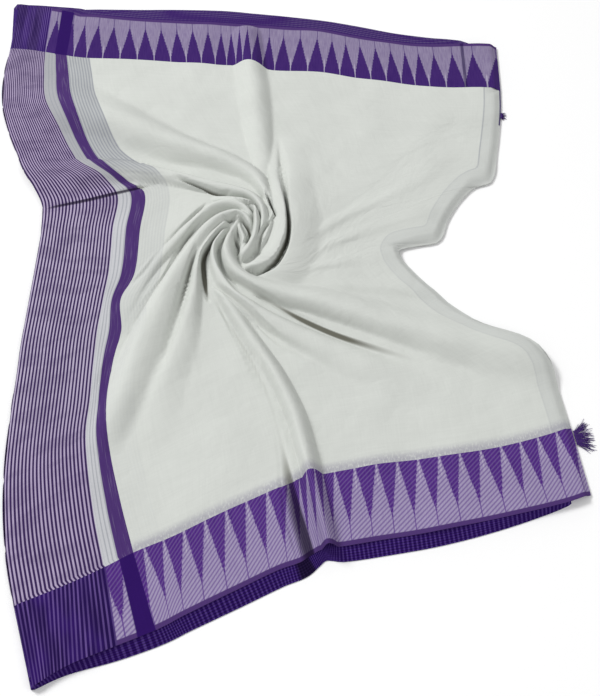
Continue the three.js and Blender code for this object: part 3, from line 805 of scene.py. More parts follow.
def laid_sheet(
    relief: Relief, name: str, plan: Array, cloth: Array, wraps: bool = False,
    lower_step: int = 1,
) -> bpy.types.Object:
    """Makes a sheet that lies in the form of the top layer.

    Args:
        relief: the form of the top layer.
        name: the piece's name.
        plan: points of the plan on a grid.
        cloth: the cloth place of each.
        wraps: whether the grid's last column joins its first.
        lower_step: how many upper rows each row of the lower face stands for.

    Returns:
        The linked object.
    """
    x, y = plan[..., 0], plan[..., 1]
    cut = relief.cut(x, y)
    top = relief.surface(x, y, cut)
    # The creases' depth goes with the sheet for its painted shade.
    return Shell(name, top, cloth, cut / CREASE_UNIT, wraps, lower_step).build()


def joined_stations(*spans: tuple[float, int]) -> Array:
    """Places along joined spans: each start with its count, and the last place.

    Args:
        spans: where each span starts and how many places it has.

    Returns:
        The places, evenly apart in each span.
    """
    parts = [
        np.linspace(start, spans[i + 1][0], count, endpoint=False)
        for i, (start, count) in enumerate(spans[:-1])
    ]
    return np.concatenate([*parts, [spans[-1][0]]])


def across_cloth(count: int) -> Array:
    """Returns count places evenly apart across the cloth, from seam to seam."""
    return np.linspace(BORDER_WIDTH, FAR_SEAM, count)


class Borders:
    """The two long borders between their selvedges and their seams."""

    NEAR_STATIONS = joined_stations((0, 59), (BAND_END, 299), (NEAR_END, 1))
    FAR_STATIONS = joined_stations((0, 59), (BAND_END, 299), (FAR_END, 1))
    ROWS = 26

    @classmethod
    def build(cls, relief: Relief, far: bool) -> bpy.types.Object:
        """Makes one border, a grid from its selvedge to its seam.

        Args:
            relief: the form of the top layer.
            far: the far border, or else the near one.

        Returns:
            The linked object.
        """
        rows, u = (FAR_BORDER, cls.FAR_STATIONS) if far else (NEAR_BORDER, cls.NEAR_STATIONS)
        edge, seam = rows.line("edge_x", "edge_y", u), rows.line("seam_x", "seam_y", u)
        share = np.linspace(0, 1, cls.ROWS)[:, None, None]
        plan = edge + (seam - edge) * share
        v = np.broadcast_to(share[..., 0] * BORDER_WIDTH, plan.shape[:2])
        v = CLOTH_WIDTH - v if far else v
        cloth = np.stack([np.broadcast_to(u, v.shape), v], axis=-1)
        name = "far_border_cloth" if far else "near_border_cloth"
        return laid_sheet(relief, name, plan, cloth)


class StripedEnd:
    """The striped end between its folded edge and the far side of the broad band."""

    V = joined_stations((BORDER_WIDTH, 150), (640, 100), (740, 90), (FAR_SEAM, 1))
    ROUND_U = (0, 0.3, 0.8, 1.6, 2.6, 4, 5.5, 7.5, 10)
    U = np.append(ROUND_U, joined_stations((14, 25), (STRIPES_END, 8), (BAND_END, 1)))

    @staticmethod
    def plan(u: Array, v: Array) -> Array:
        """Points of the plan between the end's three lines.

        Args:
            u: cloth places along the saree.
            v: cloth places across it, of the same shape.

        Returns:
            Points with a last axis of two, straight between the fold and the end of
            the stripes, and between that and the far side of the band.
        """
        fold = END_PIECE.line("fold_x", "fold_y", v)
        stripe = END_PIECE.line("stripe_x", "stripe_y", v)
        band = END_PIECE.line("band_x", "band_y", v)
        inner = (u / STRIPES_END)[..., None]
        outer = ((u - STRIPES_END) / (BAND_END - STRIPES_END))[..., None]
        return np.where(
            inner <= 1, fold + (stripe - fold) * inner, stripe + (band - stripe) * outer)

    @classmethod
    def build(cls, relief: Relief) -> bpy.types.Object:
        """Makes the striped end; its first and last rows are the borders' seams.

        Args:
            relief: the form of the top layer.

        Returns:
            The linked object.
        """
        u, v = np.meshgrid(cls.U, cls.V)
        plan = cls.plan(u, v)
        plan[0] = NEAR_BORDER.line("seam_x", "seam_y", cls.U)
        plan[-1] = FAR_BORDER.line("seam_x", "seam_y", cls.U)
        return laid_sheet(relief, "striped_end_cloth", plan, np.stack([u, v], -1))


class BodyField:
    """The white body, a grid of rings and spokes about the swirl's middle.

    The rings are even out to the last of INNER_RINGS, and OUTER_SHARES of the way from
    there to the outline. SLACK draws the cloth in towards the middle. Cloth places are
    true to the seams within EDGE_BLEND[0] of them, and free of them past EDGE_BLEND[1].
    """

    INNER_RINGS = np.linspace(0.4, 112, 80)
    STEPS = np.linspace(0, 1, 108)[1:]
    OUTER_SHARES = 0.35 * STEPS + 0.65 * STEPS**2
    LOWER_STEP = 6
    SLACK = 0.8
    LEAST_PLACE = (190.0, 120.0)
    MOST_PLACE = (760.0, 1030.0)
    EDGE_BLEND = (42.0, 110.0)

    @staticmethod
    def loop() -> tuple[Array, Array]:
        """The body's outline, anticlockwise.

        Returns:
            Its points of the plan, and their cloth places.
        """
        near_u = joined_stations((BAND_END, 24), (330, 60), (470, 60), (NEAR_END, 1))
        cut_v = across_cloth(70)[1:-1]
        far_u = joined_stations((BAND_END, 35), (420, 40), (560, 25), (FAR_END, 1))[::-1]
        band_v = joined_stations((BORDER_WIDTH, 24), (440, 76), (760, 24), (FAR_SEAM, 1))
        band_v = band_v[1:-1][::-1]
        plan = np.concatenate([
            NEAR_BORDER.line("seam_x", "seam_y", near_u),
            CUT_END.line("x", "y", cut_v),
            FAR_BORDER.line("seam_x", "seam_y", far_u),
            StripedEnd.plan(np.full(band_v.shape, BAND_END), band_v),
        ])
        sides = ((near_u, BORDER_WIDTH), (CUT_U, cut_v), (far_u, FAR_SEAM), (BAND_END, band_v))
        cloth = [np.stack(np.broadcast_arrays(u, v), -1) for u, v in sides]
        return plan, np.concatenate(cloth)

    @classmethod
    def build(cls, relief: Relief) -> bpy.types.Object:
        """Makes the body, its cloth places turned with the swirl.

        A point lies at a share of the way out along its spoke, and its cloth place lies
        at that share of the way to the outline on a spoke turned on by TURNS.

        Args:
            relief: the form of the top layer.

        Returns:
            The linked object.
        """
        loop, cloth = cls.loop()
        offset = loop - SWIRL
        reach = np.hypot(offset[:, 0], offset[:, 1])
        bearing = np.unwrap(np.arctan2(offset[:, 1], offset[:, 0]))
        last = cls.INNER_RINGS[-1]
        radius = np.concatenate([
            np.broadcast_to(cls.INNER_RINGS[:, None], (len(cls.INNER_RINGS), len(loop))),
            last + (reach - last) * cls.OUTER_SHARES[:, None],
        ])
        plan = SWIRL + offset / reach[:, None] * radius[..., None]
        turned = np.radians(TURNS.read("degrees", radius) * (1 - (radius / reach) ** 2))
        wrapped = bearing[0] + (bearing + turned - bearing[0]) % ONE_TURN
        keys = np.append(bearing, bearing[0] + ONE_TURN)
        rim = np.column_stack([reach, cloth])
        rim = np.vstack([rim, rim[:1]])
        far_reach, far_u, far_v = (np.interp(wrapped, keys, rim[:, k]) for k in range(3))
        share = np.clip(radius / far_reach, 0, 1)[..., None] ** cls.SLACK
        places = SWIRL_CLOTH + (np.stack([far_u, far_v], -1) - SWIRL_CLOTH) * share
        places = cls.held_to_edges(plan, places)
        return laid_sheet(relief, "body_cloth", plan, places, True, cls.LOWER_STEP)

    @classmethod
    def held_to_edges(cls, plan: Array, places: Array) -> Array:
        """Cloth places that keep their true distance from the seams near them.

        Args:
            plan: points of the plan.
            places: the cloth place of each, as turned with the swirl.

        Returns:
            The places, drawn to each seam's own place plus the distance from it.
        """
        x, y = plan[..., 0], plan[..., 1]
        v, u = across_cloth(60), np.linspace(BAND_END, NEAR_END, 60)
        band = StripedEnd.plan(np.full(v.shape, BAND_END), v)
        near, far = (rows.line("seam_x", "seam_y", u) for rows in (NEAR_BORDER, FAR_BORDER))
        places = np.clip(places, cls.LEAST_PLACE, cls.MOST_PLACE)
        for line, axis, start, sign in (
            (band, 0, BAND_END, 1), (CUT_END.line("x", "y", v), 0, CUT_U, -1),
            (near, 1, BORDER_WIDTH, 1), (far, 1, FAR_SEAM, -1),
        ):
            away = distance_to(line, x, y)
            share = 1 - smoothstep(*cls.EDGE_BLEND, away)
            places[..., axis] += (start + sign * away - places[..., axis]) * share
        return places


class LayerStack:
    """The hidden layers as a stack of leaves that step out past the top layer.

    NOSE is a leaf's rounded edge, as heights in parts of the leaf and how far each is
    set in. Each leaf under the cut end and the fold is set back by STEP_BACK more.
    """

    LEAVES = 6
    STEP_BACK = 1.1
    NOSE = ((0.1, 0.75), (0.3, 0.15), (0.55, 0.0), (0.8, 0.15), (0.97, 0.75))
    FOLD_INSET = 3.7
    TOP_INSET = 9.0
    MOUND_RADII = (160.0, 110.0, 75.0, 48.0, 24.0)
    MOUND_SHARE = 0.3
    EDGE_POINTS = 260
    NEAR_SPAN = (2.0, 760.0)
    FAR_SPAN = (2.0, 770.0)
    HIDDEN_PLACE = (400.0, -300.0)

    @classmethod
    def outline(cls) -> tuple[Array, Array, Array]:
        """The top layer's outline, anticlockwise.

        Returns:
            Its points of the plan, how far the layers reach past each, and the cloth's
            u there, with FAR_SHIFT added along the far edge.
        """
        near_u = np.linspace(*cls.NEAR_SPAN, cls.EDGE_POINTS)
        far_u = np.linspace(*cls.FAR_SPAN, cls.EDGE_POINTS)[::-1]
        cut_v = across_cloth(70)[1:-1]
        plan = np.concatenate([
            NEAR_BORDER.line("edge_x", "edge_y", near_u),
            CUT_END.line("x", "y", cut_v),
            FAR_BORDER.line("edge_x", "edge_y", far_u),
            END_PIECE.line("fold_x", "fold_y", cut_v[::-1]),
        ])
        reveal = np.concatenate([
            NEAR_BORDER.read("reveal", near_u),
            CUT_END.read("reveal", cut_v),
            FAR_BORDER.read("reveal", far_u),
            np.full(cut_v.shape, -cls.FOLD_INSET),
        ])
        ends = np.ones(cut_v.shape)
        return plan, reveal, np.concatenate([near_u, ends * FAR_END, far_u + FAR_SHIFT, ends * 0])

    @staticmethod
    def moved(line: Array, distance: Array) -> Array:
        """Points of a closed line moved outward, square to the line through their
        neighbours.

        Args:
            line: the line's points, anticlockwise.
            distance: how far each moves.

        Returns:
            The moved points.
        """
        run = np.roll(line, -1, axis=0) - np.roll(line, 1, axis=0)
        out = np.stack([run[:, 1], -run[:, 0]], -1) / np.linalg.norm(run, axis=1)[:, None]
        return line + out * distance[:, None]

    @classmethod
    def build(cls) -> bpy.types.Object:
        """Makes the stack as rings of points from the floor up and in to the middle.

        Returns:
            The linked object.
        """
        plan, reveal, along = cls.outline()
        high = STACK_TOP / cls.LEAVES
        rings, places = [], []

        def add(ring: Array, level: float, place: Array) -> None:
            """Adds one ring of points at a level, with its cloth places."""
            rings.append(np.column_stack([ring, np.full(len(ring), level)]))
            places.append(place)

        for leaf in range(cls.LEAVES):
            share = 1 - leaf / cls.LEAVES
            reach = np.where(reveal > 0, reveal * share, reveal - cls.STEP_BACK * leaf)
            for height, inset in cls.NOSE:
                level = 0.0 if leaf == 0 and height == cls.NOSE[0][0] else (leaf + height) * high
                add(cls.moved(plan, reach - inset), level, np.stack([along, reach - inset], -1))
        inner = cls.moved(plan, np.minimum(reveal, 0) - cls.TOP_INSET)
        add(inner, STACK_TOP, np.stack([along, np.full(len(inner), -cls.TOP_INSET)], -1))
        away = plan - SWIRL
        away = away / np.linalg.norm(away, axis=1)[:, None]
        hidden = np.tile(cls.HIDDEN_PLACE, (len(plan), 1))
        for radius in cls.MOUND_RADII:
            share = 0.0 if radius == cls.MOUND_RADII[0] else cls.MOUND_SHARE
            level = STACK_TOP + share * mound_at(np.float64(radius))
            add(SWIRL + away * radius, level, hidden)
        middle = STACK_TOP + cls.MOUND_SHARE * SWIRL_RISE
        points = np.vstack([*rings, [*SWIRL, 0.0], [*SWIRL, middle]])
        faces = tube_faces(len(rings), len(plan))
        cloth = np.vstack([*places, hidden[:2]])
        return make_object("layer_stack", points, faces, cloth, faces[-len(plan):])


@dataclass(frozen=True)
class ThreadTuft:
    """Loose threads that fan out from the cut end and sink to the floor.

    Facing, spread and the threads' own turns are in degrees, and the strip that holds
    their roots is strip_long long.
    """

    name: str
    x: float
    y: float
    facing: float
    strip_long: float
    count: int
    long: float
    spread: float
    seed: int

    RADIUS = 0.42
    TAPER = 0.5
    SIDES = 5
    BENDS = 7
    ROOT_LEVEL = 3.0
    TIP_LEVEL = 0.7
    STRIP_LEVELS = (-0.8, 0.5)
    STRIP_HALF_WIDTH = 1.0
    STRIP_FACES = (
        (0, 1, 5, 4), (1, 2, 6, 5), (2, 3, 7, 6), (3, 0, 4, 7), (4, 5, 6, 7), (3, 2, 1, 0),
    )

    def build(self) -> bpy.types.Object:
        """Makes the tuft: a narrow strip, and strands of five sides with bends.

        Returns:
            The linked object.
        """
        random = np.random.default_rng(self.seed)
        heading = math.radians(self.facing)
        forward = np.array([math.cos(heading), math.sin(heading), 0])
        side = np.array([-forward[1], forward[0], 0])
        root = np.array([self.x, self.y, self.ROOT_LEVEL])
        points, faces = [self.strip(root, forward, side)], [np.array(self.STRIP_FACES)]
        t = np.linspace(0, 1, self.BENDS)[:, None]
        strand_faces = tube_faces(self.BENDS, self.SIDES)[:, ::-1]
        for i in range(self.count):
            place = (i + random.uniform(0.2, 0.8)) / self.count - 0.5
            angle = heading + math.radians(place * self.spread + random.uniform(-9, 9))
            way = np.array([math.cos(angle), math.sin(angle), 0])
            bend = np.array([-way[1], way[0], 0]) * random.uniform(-0.3, 0.3)
            length = self.long * random.uniform(0.5, 1.0)
            start = root + side * place * (self.strip_long - 1)
            path = start + way * length * t + bend * length * t**2
            path[:, 2] = self.ROOT_LEVEL - (self.ROOT_LEVEL - self.TIP_LEVEL) * t[:, 0] ** 0.6
            faces.append(strand_faces + sum(map(len, points)))
            points.append(self.strand(path))
        array, mesh_faces = np.concatenate(points), np.concatenate(faces)
        cloth = np.column_stack([np.full(len(array), FAR_END), array[:, 1]])
        return make_object(self.name, array, mesh_faces, cloth, mesh_faces[4:5])

    def strip(self, root: Array, forward: Array, side: Array) -> Array:
        """The eight corners of the narrow backing strip, as a box round the root.

        Args:
            root: the tuft's root.
            forward: the way that the threads point, one long.
            side: the way that the strip runs, one long.

        Returns:
            One row for each corner, the lower four first.
        """
        wide, long = self.STRIP_HALF_WIDTH, self.strip_long / 2
        return np.array([
            root + forward * a * wide + side * b * long + np.array([0, 0, level])
            for level in self.STRIP_LEVELS for a, b in ((-1, -1), (1, -1), (1, 1), (-1, 1))
        ])

    def strand(self, path: Array) -> Array:
        """One strand: a ring of five carried along a path, narrowing to its tip.

        The ring turns clockwise about the path, so its faces are numbered backwards.

        Args:
            path: the points that the strand runs through.

        Returns:
            The rings' points, ring by ring, and the two ends of the path.
        """
        aside = np.cross(path[-1] - path[0], [0, 0, 1])
        aside /= np.linalg.norm(aside)
        turn = ONE_TURN * np.arange(self.SIDES)[:, None] / self.SIDES
        ring = aside * np.cos(turn) + np.array([0, 0, 1]) * np.sin(turn)
        radius = self.RADIUS * (1 - self.TAPER * np.linspace(0, 1, len(path)))
        rings = path[:, None] + radius[:, None, None] * ring
        return np.concatenate([rings.reshape(-1, 3), path[[0, -1]]])


class Node:
    """A shader socket that takes part in Python expressions."""

    def __init__(self, tree: "Graph", socket: bpy.types.NodeSocket) -> None:
        """Wraps a socket of a graph."""
        self.tree = tree
        self.socket = socket

    def __add__(self, other: "Value") -> "Node":
        """self + other"""
        return self.tree.math("ADD", self, other)

    def __radd__(self, other: "Value") -> "Node":
        """other + self"""
        return self.tree.math("ADD", other, self)

    def __sub__(self, other: "Value") -> "Node":
        """self - other"""
        return self.tree.math("SUBTRACT", self, other)

    def __rsub__(self, other: "Value") -> "Node":
        """other - self"""
        return self.tree.math("SUBTRACT", other, self)

    def __mul__(self, other: "Value") -> "Node":
        """self * other"""
        return self.tree.math("MULTIPLY", self, other)

    def __truediv__(self, other: "Value") -> "Node":
        """self / other"""
        return self.tree.math("DIVIDE", self, other)


Value = Node | float | tuple


class Graph:
    """A material's node graph with its signals as expressions."""

    SHARP = 0.0006
    SHEEN_ROUGHNESS = 0.5
    SPECULAR = 0.05

    def __init__(self, name: str) -> None:
        """Starts an empty graph in a new material.

        Args:
            name: the material's name.
        """
        self.material = bpy.data.materials.new(name)
        self.material.use_nodes = True
        self.nodes = self.material.node_tree.nodes
        self.links = self.material.node_tree.links
        self.nodes.clear()

    def node(self, kind: str, inputs: dict, output: str | int = 0, **settings: object) -> Node:
        """Adds any node.

        Args:
            kind: the node's type name.
            inputs: sockets by name or number, with a signal or a constant each.
            output: the output socket that the signal is read from.
            settings: properties set on the node.

        Returns:
            The chosen output as a signal.
        """
        made = self.nodes.new(kind)
        for key, value in settings.items():
            setattr(made, key, value)
        for key, value in inputs.items():
            if isinstance(value, Node):
                self.links.new(value.socket, made.inputs[key])
            else:
                made.inputs[key].default_value = value
        return Node(self, made.outputs[output])

    def math(self, operation: str, a: Value, b: Value = 0.0) -> Node:
        """One step of arithmetic on signals and constants."""
        return self.node("ShaderNodeMath", {0: a, 1: b}, operation=operation)

    def step(self, value: Value, edge: Value, soft: float = SHARP) -> Node:
        """Rises from 0 to 1 where a value passes an edge.

        Args:
            value: the signal that is compared.
            edge: where it counts as passed.
            soft: how far the rise reaches on each side of the edge.

        Returns:
            The smooth step.
        """
        past = self.math("SUBTRACT", value, edge)
        return self.node(
            "ShaderNodeMapRange", {"Value": past, "From Min": -soft, "From Max": soft},
            clamp=True, interpolation_type="SMOOTHSTEP")

    def below(self, value: Value, edge: Value, soft: float = SHARP) -> Node:
        """Falls from 1 to 0 where a value passes an edge."""
        return 1.0 - self.step(value, edge, soft)

    def inside(self, value: Value, low: float, high: float, soft: float = SHARP) -> Node:
        """Is 1 between low and high and 0 outside them."""
        return self.step(value, low, soft) * self.below(value, high, soft)

    def wave(self, value: Node, pitch: float) -> Node:
        """A sine wave over a length, with its pitch in metres."""
        return self.math("SINE", value * (ONE_TURN / pitch))

    def mix(self, share: Value, a: Value, b: Value) -> Node:
        """Mixes two colours by a share."""
        return self.node(
            "ShaderNodeMix", {"Factor": share, 6: a, 7: b}, output=2, data_type="RGBA")

    def tinted(self, colour: Value, factor: Value) -> Node:
        """A colour times a brightness."""
        return self.node("ShaderNodeVectorMath", {0: colour, "Scale": factor}, operation="SCALE")

    def noise(self, x: Value, y: Value, scale: float, detail: float = 2.0) -> Node:
        """Soft noise about one half over a place of two numbers."""
        place = self.node("ShaderNodeCombineXYZ", {0: x, 1: y, 2: 0.0})
        return self.node("ShaderNodeTexNoise", {"Vector": place, "Scale": scale, "Detail": detail})

    def cloth(self) -> tuple[Node, Node]:
        """The cloth place u and v in metres, from the piece's own UV map."""
        place = self.node("ShaderNodeUVMap", {}, uv_map="cloth")
        across = self.node("ShaderNodeSeparateXYZ", {0: place})
        return across, Node(self, across.socket.node.outputs[1])

    def crease(self) -> Node:
        """How deep in a crease the cloth lies, in parts of CREASE_UNIT."""
        # Read by the finishes to paint shade into deep creases.
        return self.node(
            "ShaderNodeAttribute", {}, output="Fac", attribute_name="crease",
            attribute_type="GEOMETRY")

    def finish(self, colour: Node, roughness: float, height: Node, strength: float,
               sheen: float) -> bpy.types.Material:
        """Closes the graph with the cloth's surface shader.

        Args:
            colour: base colour.
            roughness: surface roughness.
            height: the fine relief of the weave in metres.
            strength: how strongly the relief shows.
            sheen: weight of the fibres' soft sheen.

        Returns:
            The finished material.
        """
        bump = self.node(
            "ShaderNodeBump", {"Strength": strength, "Distance": 1.0, "Height": height},
            output="Normal")
        shader = self.node("ShaderNodeBsdfPrincipled", {
            "Base Color": colour, "Roughness": roughness, "Normal": bump,
            "Sheen Weight": sheen, "Sheen Roughness": self.SHEEN_ROUGHNESS,
            "Specular IOR Level": self.SPECULAR,
        })
        output = self.nodes.new("ShaderNodeOutputMaterial")
        self.links.new(shader.socket, output.inputs["Surface"])
        return self.material


def srgb(red: float, green: float, blue: float) -> tuple[float, float, float, float]:
    """A linear colour from its shares of 255 as seen on a screen."""
    def linear(value: float) -> float:
        """One channel without the screen's curve."""
        share = value / 255
        return share / 12.92 if share <= 0.04045 else ((share + 0.055) / 1.055) ** 2.4
    return linear(red), linear(green), linear(blue), 1.0


WHITE_COTTON = srgb(211, 214, 209)
GREY_LINE = srgb(150, 153, 161)
GREY_GAP = srgb(170, 171, 175)
PALE_GAP = srgb(197, 198, 202)
FRINGE_GREY = srgb(160, 158, 170)
# Painted shade: the colours that deep creases, and the layers under the hem pleat, are darkened
# to.
PAINTED_SHADE_GREY = srgb(74, 72, 58)
PAINTED_SHADE_PURPLE = srgb(22, 12, 38)
NEAR_PURPLE = srgb(86, 48, 132)
NEAR_LILAC = srgb(156, 143, 178)
FAR_PURPLE = srgb(68, 42, 110)
FAR_LILAC = srgb(130, 117, 152)
PALE_LILAC = srgb(190, 183, 202)
BAND_PURPLE = srgb(84, 58, 120)
BAND_DARK = srgb(66, 42, 100)
CROSSING = srgb(46, 18, 94)
CORNER_PURPLE = srgb(46, 20, 96)
CORNER_DARK = srgb(33, 14, 72)
CORNER_LINE = srgb(108, 84, 150)
STRIPE_LIGHT = srgb(176, 162, 192)
STRIPE_DARK = srgb(56, 38, 84)
SELVEDGE = srgb(78, 54, 112)
LAYER_DARK = srgb(42, 16, 92)
LAYER_RIB = srgb(86, 62, 136)
LAYER_FAR = srgb(62, 36, 104)


@dataclass(frozen=True)
class Weave:
    """The fine relief and the uneven yarns of a hand-woven cloth."""

    yarn: float = 0.0011
    depth: float = 0.00012

    def height(self, graph: Graph, u: Node, v: Node) -> Node:
        """The weave's relief: crossed yarns with slubs, on a crumpled sheet.

        Args:
            graph: the material's graph.
            u: the cloth place along the saree.
            v: the cloth place across it.

        Returns:
            The height in metres.
        """
        slub = graph.noise(u * 0.05, v, 900.0)
        crease = graph.math("ABSOLUTE", graph.noise(u, v, 13.0, 3.0) - 0.5)
        crumple = crease * 0.012 + graph.noise(u, v, 38.0, 3.0) * 0.0024
        crossed = graph.wave(u, self.yarn) * graph.wave(v, self.yarn)
        return (crossed + slub * 1.4) * self.depth + crumple

    def streaks(self, graph: Graph, u: Node, v: Node) -> Node:
        """Soft streaks along both yarns.

        Args:
            graph: the material's graph.
            u: the cloth place along the saree.
            v: the cloth place across it.

        Returns:
            A brightness a little under one.
        """
        warp = graph.noise(u * 0.04, v, 420.0, 3.0)
        weft = graph.noise(u, v * 0.04, 420.0, 3.0)
        cloud = graph.noise(u, v, 9.0, 3.0)
        return 0.785 + warp * 0.08 + weft * 0.08 + cloud * 0.12


@dataclass(frozen=True)
class BorderWeave:
    """What sets one border's triangles apart: colours, pitch in metres and slope."""

    name: str
    purple: tuple
    lilac: tuple
    pitch: float
    slope: float


NEAR_WEAVE = BorderWeave("near_border_weave", NEAR_PURPLE, NEAR_LILAC, 0.0265, 1.15)
FAR_WEAVE = BorderWeave("far_border_weave", FAR_PURPLE, FAR_LILAC, 0.0225, 1.32)


class Finish(Enum):
    """The finishes' slot names, one for each kind of piece."""

    LAYERS = "hidden_layers"
    BODY = "body_cloth"
    NEAR = "near_border_cloth"
    FAR = "far_border_cloth"
    STRIPES = "striped_cloth"
    THREADS = "threads"


class ClothFinishes:
    """Builds the finishes from cloth places; lengths and pitches are in metres."""

    WEAVE = Weave()
    ROUGHNESS = 0.85
    RELIEF_STRENGTH = 0.35
    # How far deep creases are darkened by painted shade.
    PAINTED_SHADE_SHARE = 0.88
    FINE_PITCH = 0.0042
    STRIPE_PITCH = 0.00495
    THIN_PITCH = 0.0045
    CORNER_PITCH = 0.005
    TWILL_PITCH = 0.0044
    RIB_PITCH = 0.0054
    FAR_RIB_PITCH = 0.0058
    FRINGE_END = (BORDER_WIDTH + 10) * MM
    CUT_LINE = ((CUT_U - 28) * MM, (CUT_U - 26) * MM)
    HANGING_START = (CUT_U - 2.4) * MM
    TRIANGLE_FOOT = 0.006
    TRIANGLE_HEIGHT = 0.086
    JAGS = 14.0
    SELVEDGE_WIDTH = 0.0055
    FAR_LINE = (0.764, 0.7675)
    # Painted shade: the span of u where the layers' edge is darkened under the hem pleat.
    PLEAT_SHADOW = (0.345, 0.378)

    def close(self, graph: Graph, u: Node, v: Node, colour: Node, sheen: float,
              crease_shade: tuple | None = None) -> bpy.types.Material:
        """Adds the yarns' streaks and relief and painted shade in deep creases; closes the graph.

        Args:
            graph: the material's graph.
            u: the cloth place along the saree.
            v: the cloth place across it.
            colour: the pattern's colour.
            sheen: weight of the fibres' soft sheen.
            crease_shade: the colour that deep creases are darkened to, as painted shade.

        Returns:
            The finished material.
        """
        streaked = graph.tinted(colour, self.WEAVE.streaks(graph, u, v))
        # Painted shade: deep creases are darkened by their depth, standing in for their shadow.
        if crease_shade:
            deep = graph.step(graph.crease(), 0.5, 0.26)
            streaked = graph.mix(deep * self.PAINTED_SHADE_SHARE, streaked, crease_shade)
        height = self.WEAVE.height(graph, u, v)
        return graph.finish(streaked, self.ROUGHNESS, height, self.RELIEF_STRENGTH, sheen)

    def body(self) -> bpy.types.Material:
        """White cotton with fine grey lines beside the band, a speckled fringe along the
        near border, and a line and a strip along the cut end.

        Returns:
            The finished material.
        """
        graph = Graph("white_cotton")
        u, v = graph.cloth()
        zone = graph.below(u, FINE_LINES_END * MM)
        wander = graph.noise(u * 0.2, v, 12.0) * 0.004
        lines = graph.step(graph.wave(u + wander, self.FINE_PITCH), 0.25, 0.5) * zone
        fade = graph.step(v, 0.44, 0.03) * 0.16 + graph.step(v, 0.72, 0.06) * 0.66
        fade = fade + graph.noise(u * 0.3, v, 5.0) * 0.1
        colour = graph.mix((zone * 0.62 + lines * 0.45) * fade, WHITE_COTTON, GREY_LINE)
        speckle = graph.step(graph.noise(u, v * 0.5, 420.0, 4.0), 0.42, 0.12)
        fringe = graph.below(v, self.FRINGE_END, 0.007) * (0.25 + speckle * 0.5)
        colour = graph.mix(fringe, colour, FRINGE_GREY)
        strip = graph.step(u, sum(self.CUT_LINE) / 2)
        line = graph.inside(u, *self.CUT_LINE) * (0.14 + graph.step(v, 0.8, 0.04) * 0.4)
        colour = graph.mix(strip * 0.14 + line, colour, GREY_LINE)
        hanging = graph.step(u, self.HANGING_START, 0.0004) * graph.step(v, 0.95, 0.004)
        colour = graph.mix(hanging * 0.9, colour, CORNER_PURPLE)
        # Deep creases of the white cotton get painted grey shade.
        return self.close(graph, u, v, colour, 0.03, PAINTED_SHADE_GREY)

    def border(self, far: bool) -> bpy.types.Material:
        """The border: rows of triangles, a plain selvedge, and the stripes' crossing.

        Args:
            far: the far border, or else the near one, which has a twill.

        Returns:
            The finished material.
        """
        weave = FAR_WEAVE if far else NEAR_WEAVE
        graph = Graph(weave.name)
        u, v = graph.cloth()
        out = (CLOTH_WIDTH * MM - v) if far else v
        inward = (out - self.TRIANGLE_FOOT) / self.TRIANGLE_HEIGHT
        cell = graph.math("FRACT", u / weave.pitch)
        centre = graph.math("ABSOLUTE", cell - 0.5) * 2.0
        jag = graph.math("FRACT", inward * self.JAGS) * 0.07
        frayed = graph.noise(u, v * 0.15, 700.0, 3.0) * 0.22
        triangle = graph.below(centre, inward * weave.slope - 0.3 + frayed - jag, 0.05)
        streak = graph.step(graph.noise(u, v * 0.06, 900.0, 3.0), 0.5, 0.2)
        ground = graph.mix(streak * 0.25, weave.lilac, PALE_LILAC)
        motif = graph.mix(streak * 0.45, weave.purple, CORNER_PURPLE)
        colour = graph.mix(triangle, ground, motif)
        tip = graph.below(centre, 0.045, 0.02) * graph.below(inward, 0.35, 0.03)
        colour = graph.mix(tip * 0.75, colour, weave.purple)
        gap = graph.step(centre, 0.94, 0.025) * graph.step(inward, 0.7, 0.05)
        colour = graph.mix(gap * 0.6, colour, PALE_LILAC)
        if not far:
            twill = graph.wave(u * 0.62 - v * 0.78, self.TWILL_PITCH)
            shade = graph.step(twill, 0.2, 0.6) * (0.55 - triangle * 0.3)
            colour = graph.mix(shade, colour, weave.purple)
            light = triangle * graph.step(twill, 0.4, 0.5)
            colour = graph.mix(light * 0.2, colour, weave.lilac)
        colour = graph.mix(graph.below(out, self.SELVEDGE_WIDTH), colour, SELVEDGE)
        if far:
            colour = graph.mix(graph.inside(u, *self.FAR_LINE) * 0.7, colour, CORNER_DARK)
        colour = self.end_of_border(graph, u, v, colour)
        # Deep creases of the border get painted purple shade.
        return self.close(graph, u, v, colour, 0.01, PAINTED_SHADE_PURPLE)

    def end_of_border(self, graph: Graph, u: Node, v: Node, colour: Node) -> Node:
        """Adds the broad band and the dark striped corner to a border's colour.

        Args:
            graph: the border's graph.
            u: the cloth place along the saree.
            v: the cloth place across it.
            colour: the border's colour so far.

        Returns:
            The colour with them.
        """
        colour = graph.mix(graph.inside(u, BAND_START * MM, BAND_END * MM), colour, CROSSING)
        patchy = graph.step(graph.noise(u, v * 0.12, 70.0, 3.0), 0.48, 0.16)
        line = graph.step(graph.wave(u, self.CORNER_PITCH), 0.3, 0.45) * (0.24 + patchy * 0.62)
        dark = graph.step(graph.noise(u, v * 0.4, 34.0), 0.46, 0.12)
        corner = graph.mix(line, graph.mix(dark, CORNER_PURPLE, CORNER_DARK), CORNER_LINE)
        return graph.mix(graph.below(u, STRIPES_END * MM), colour, corner)

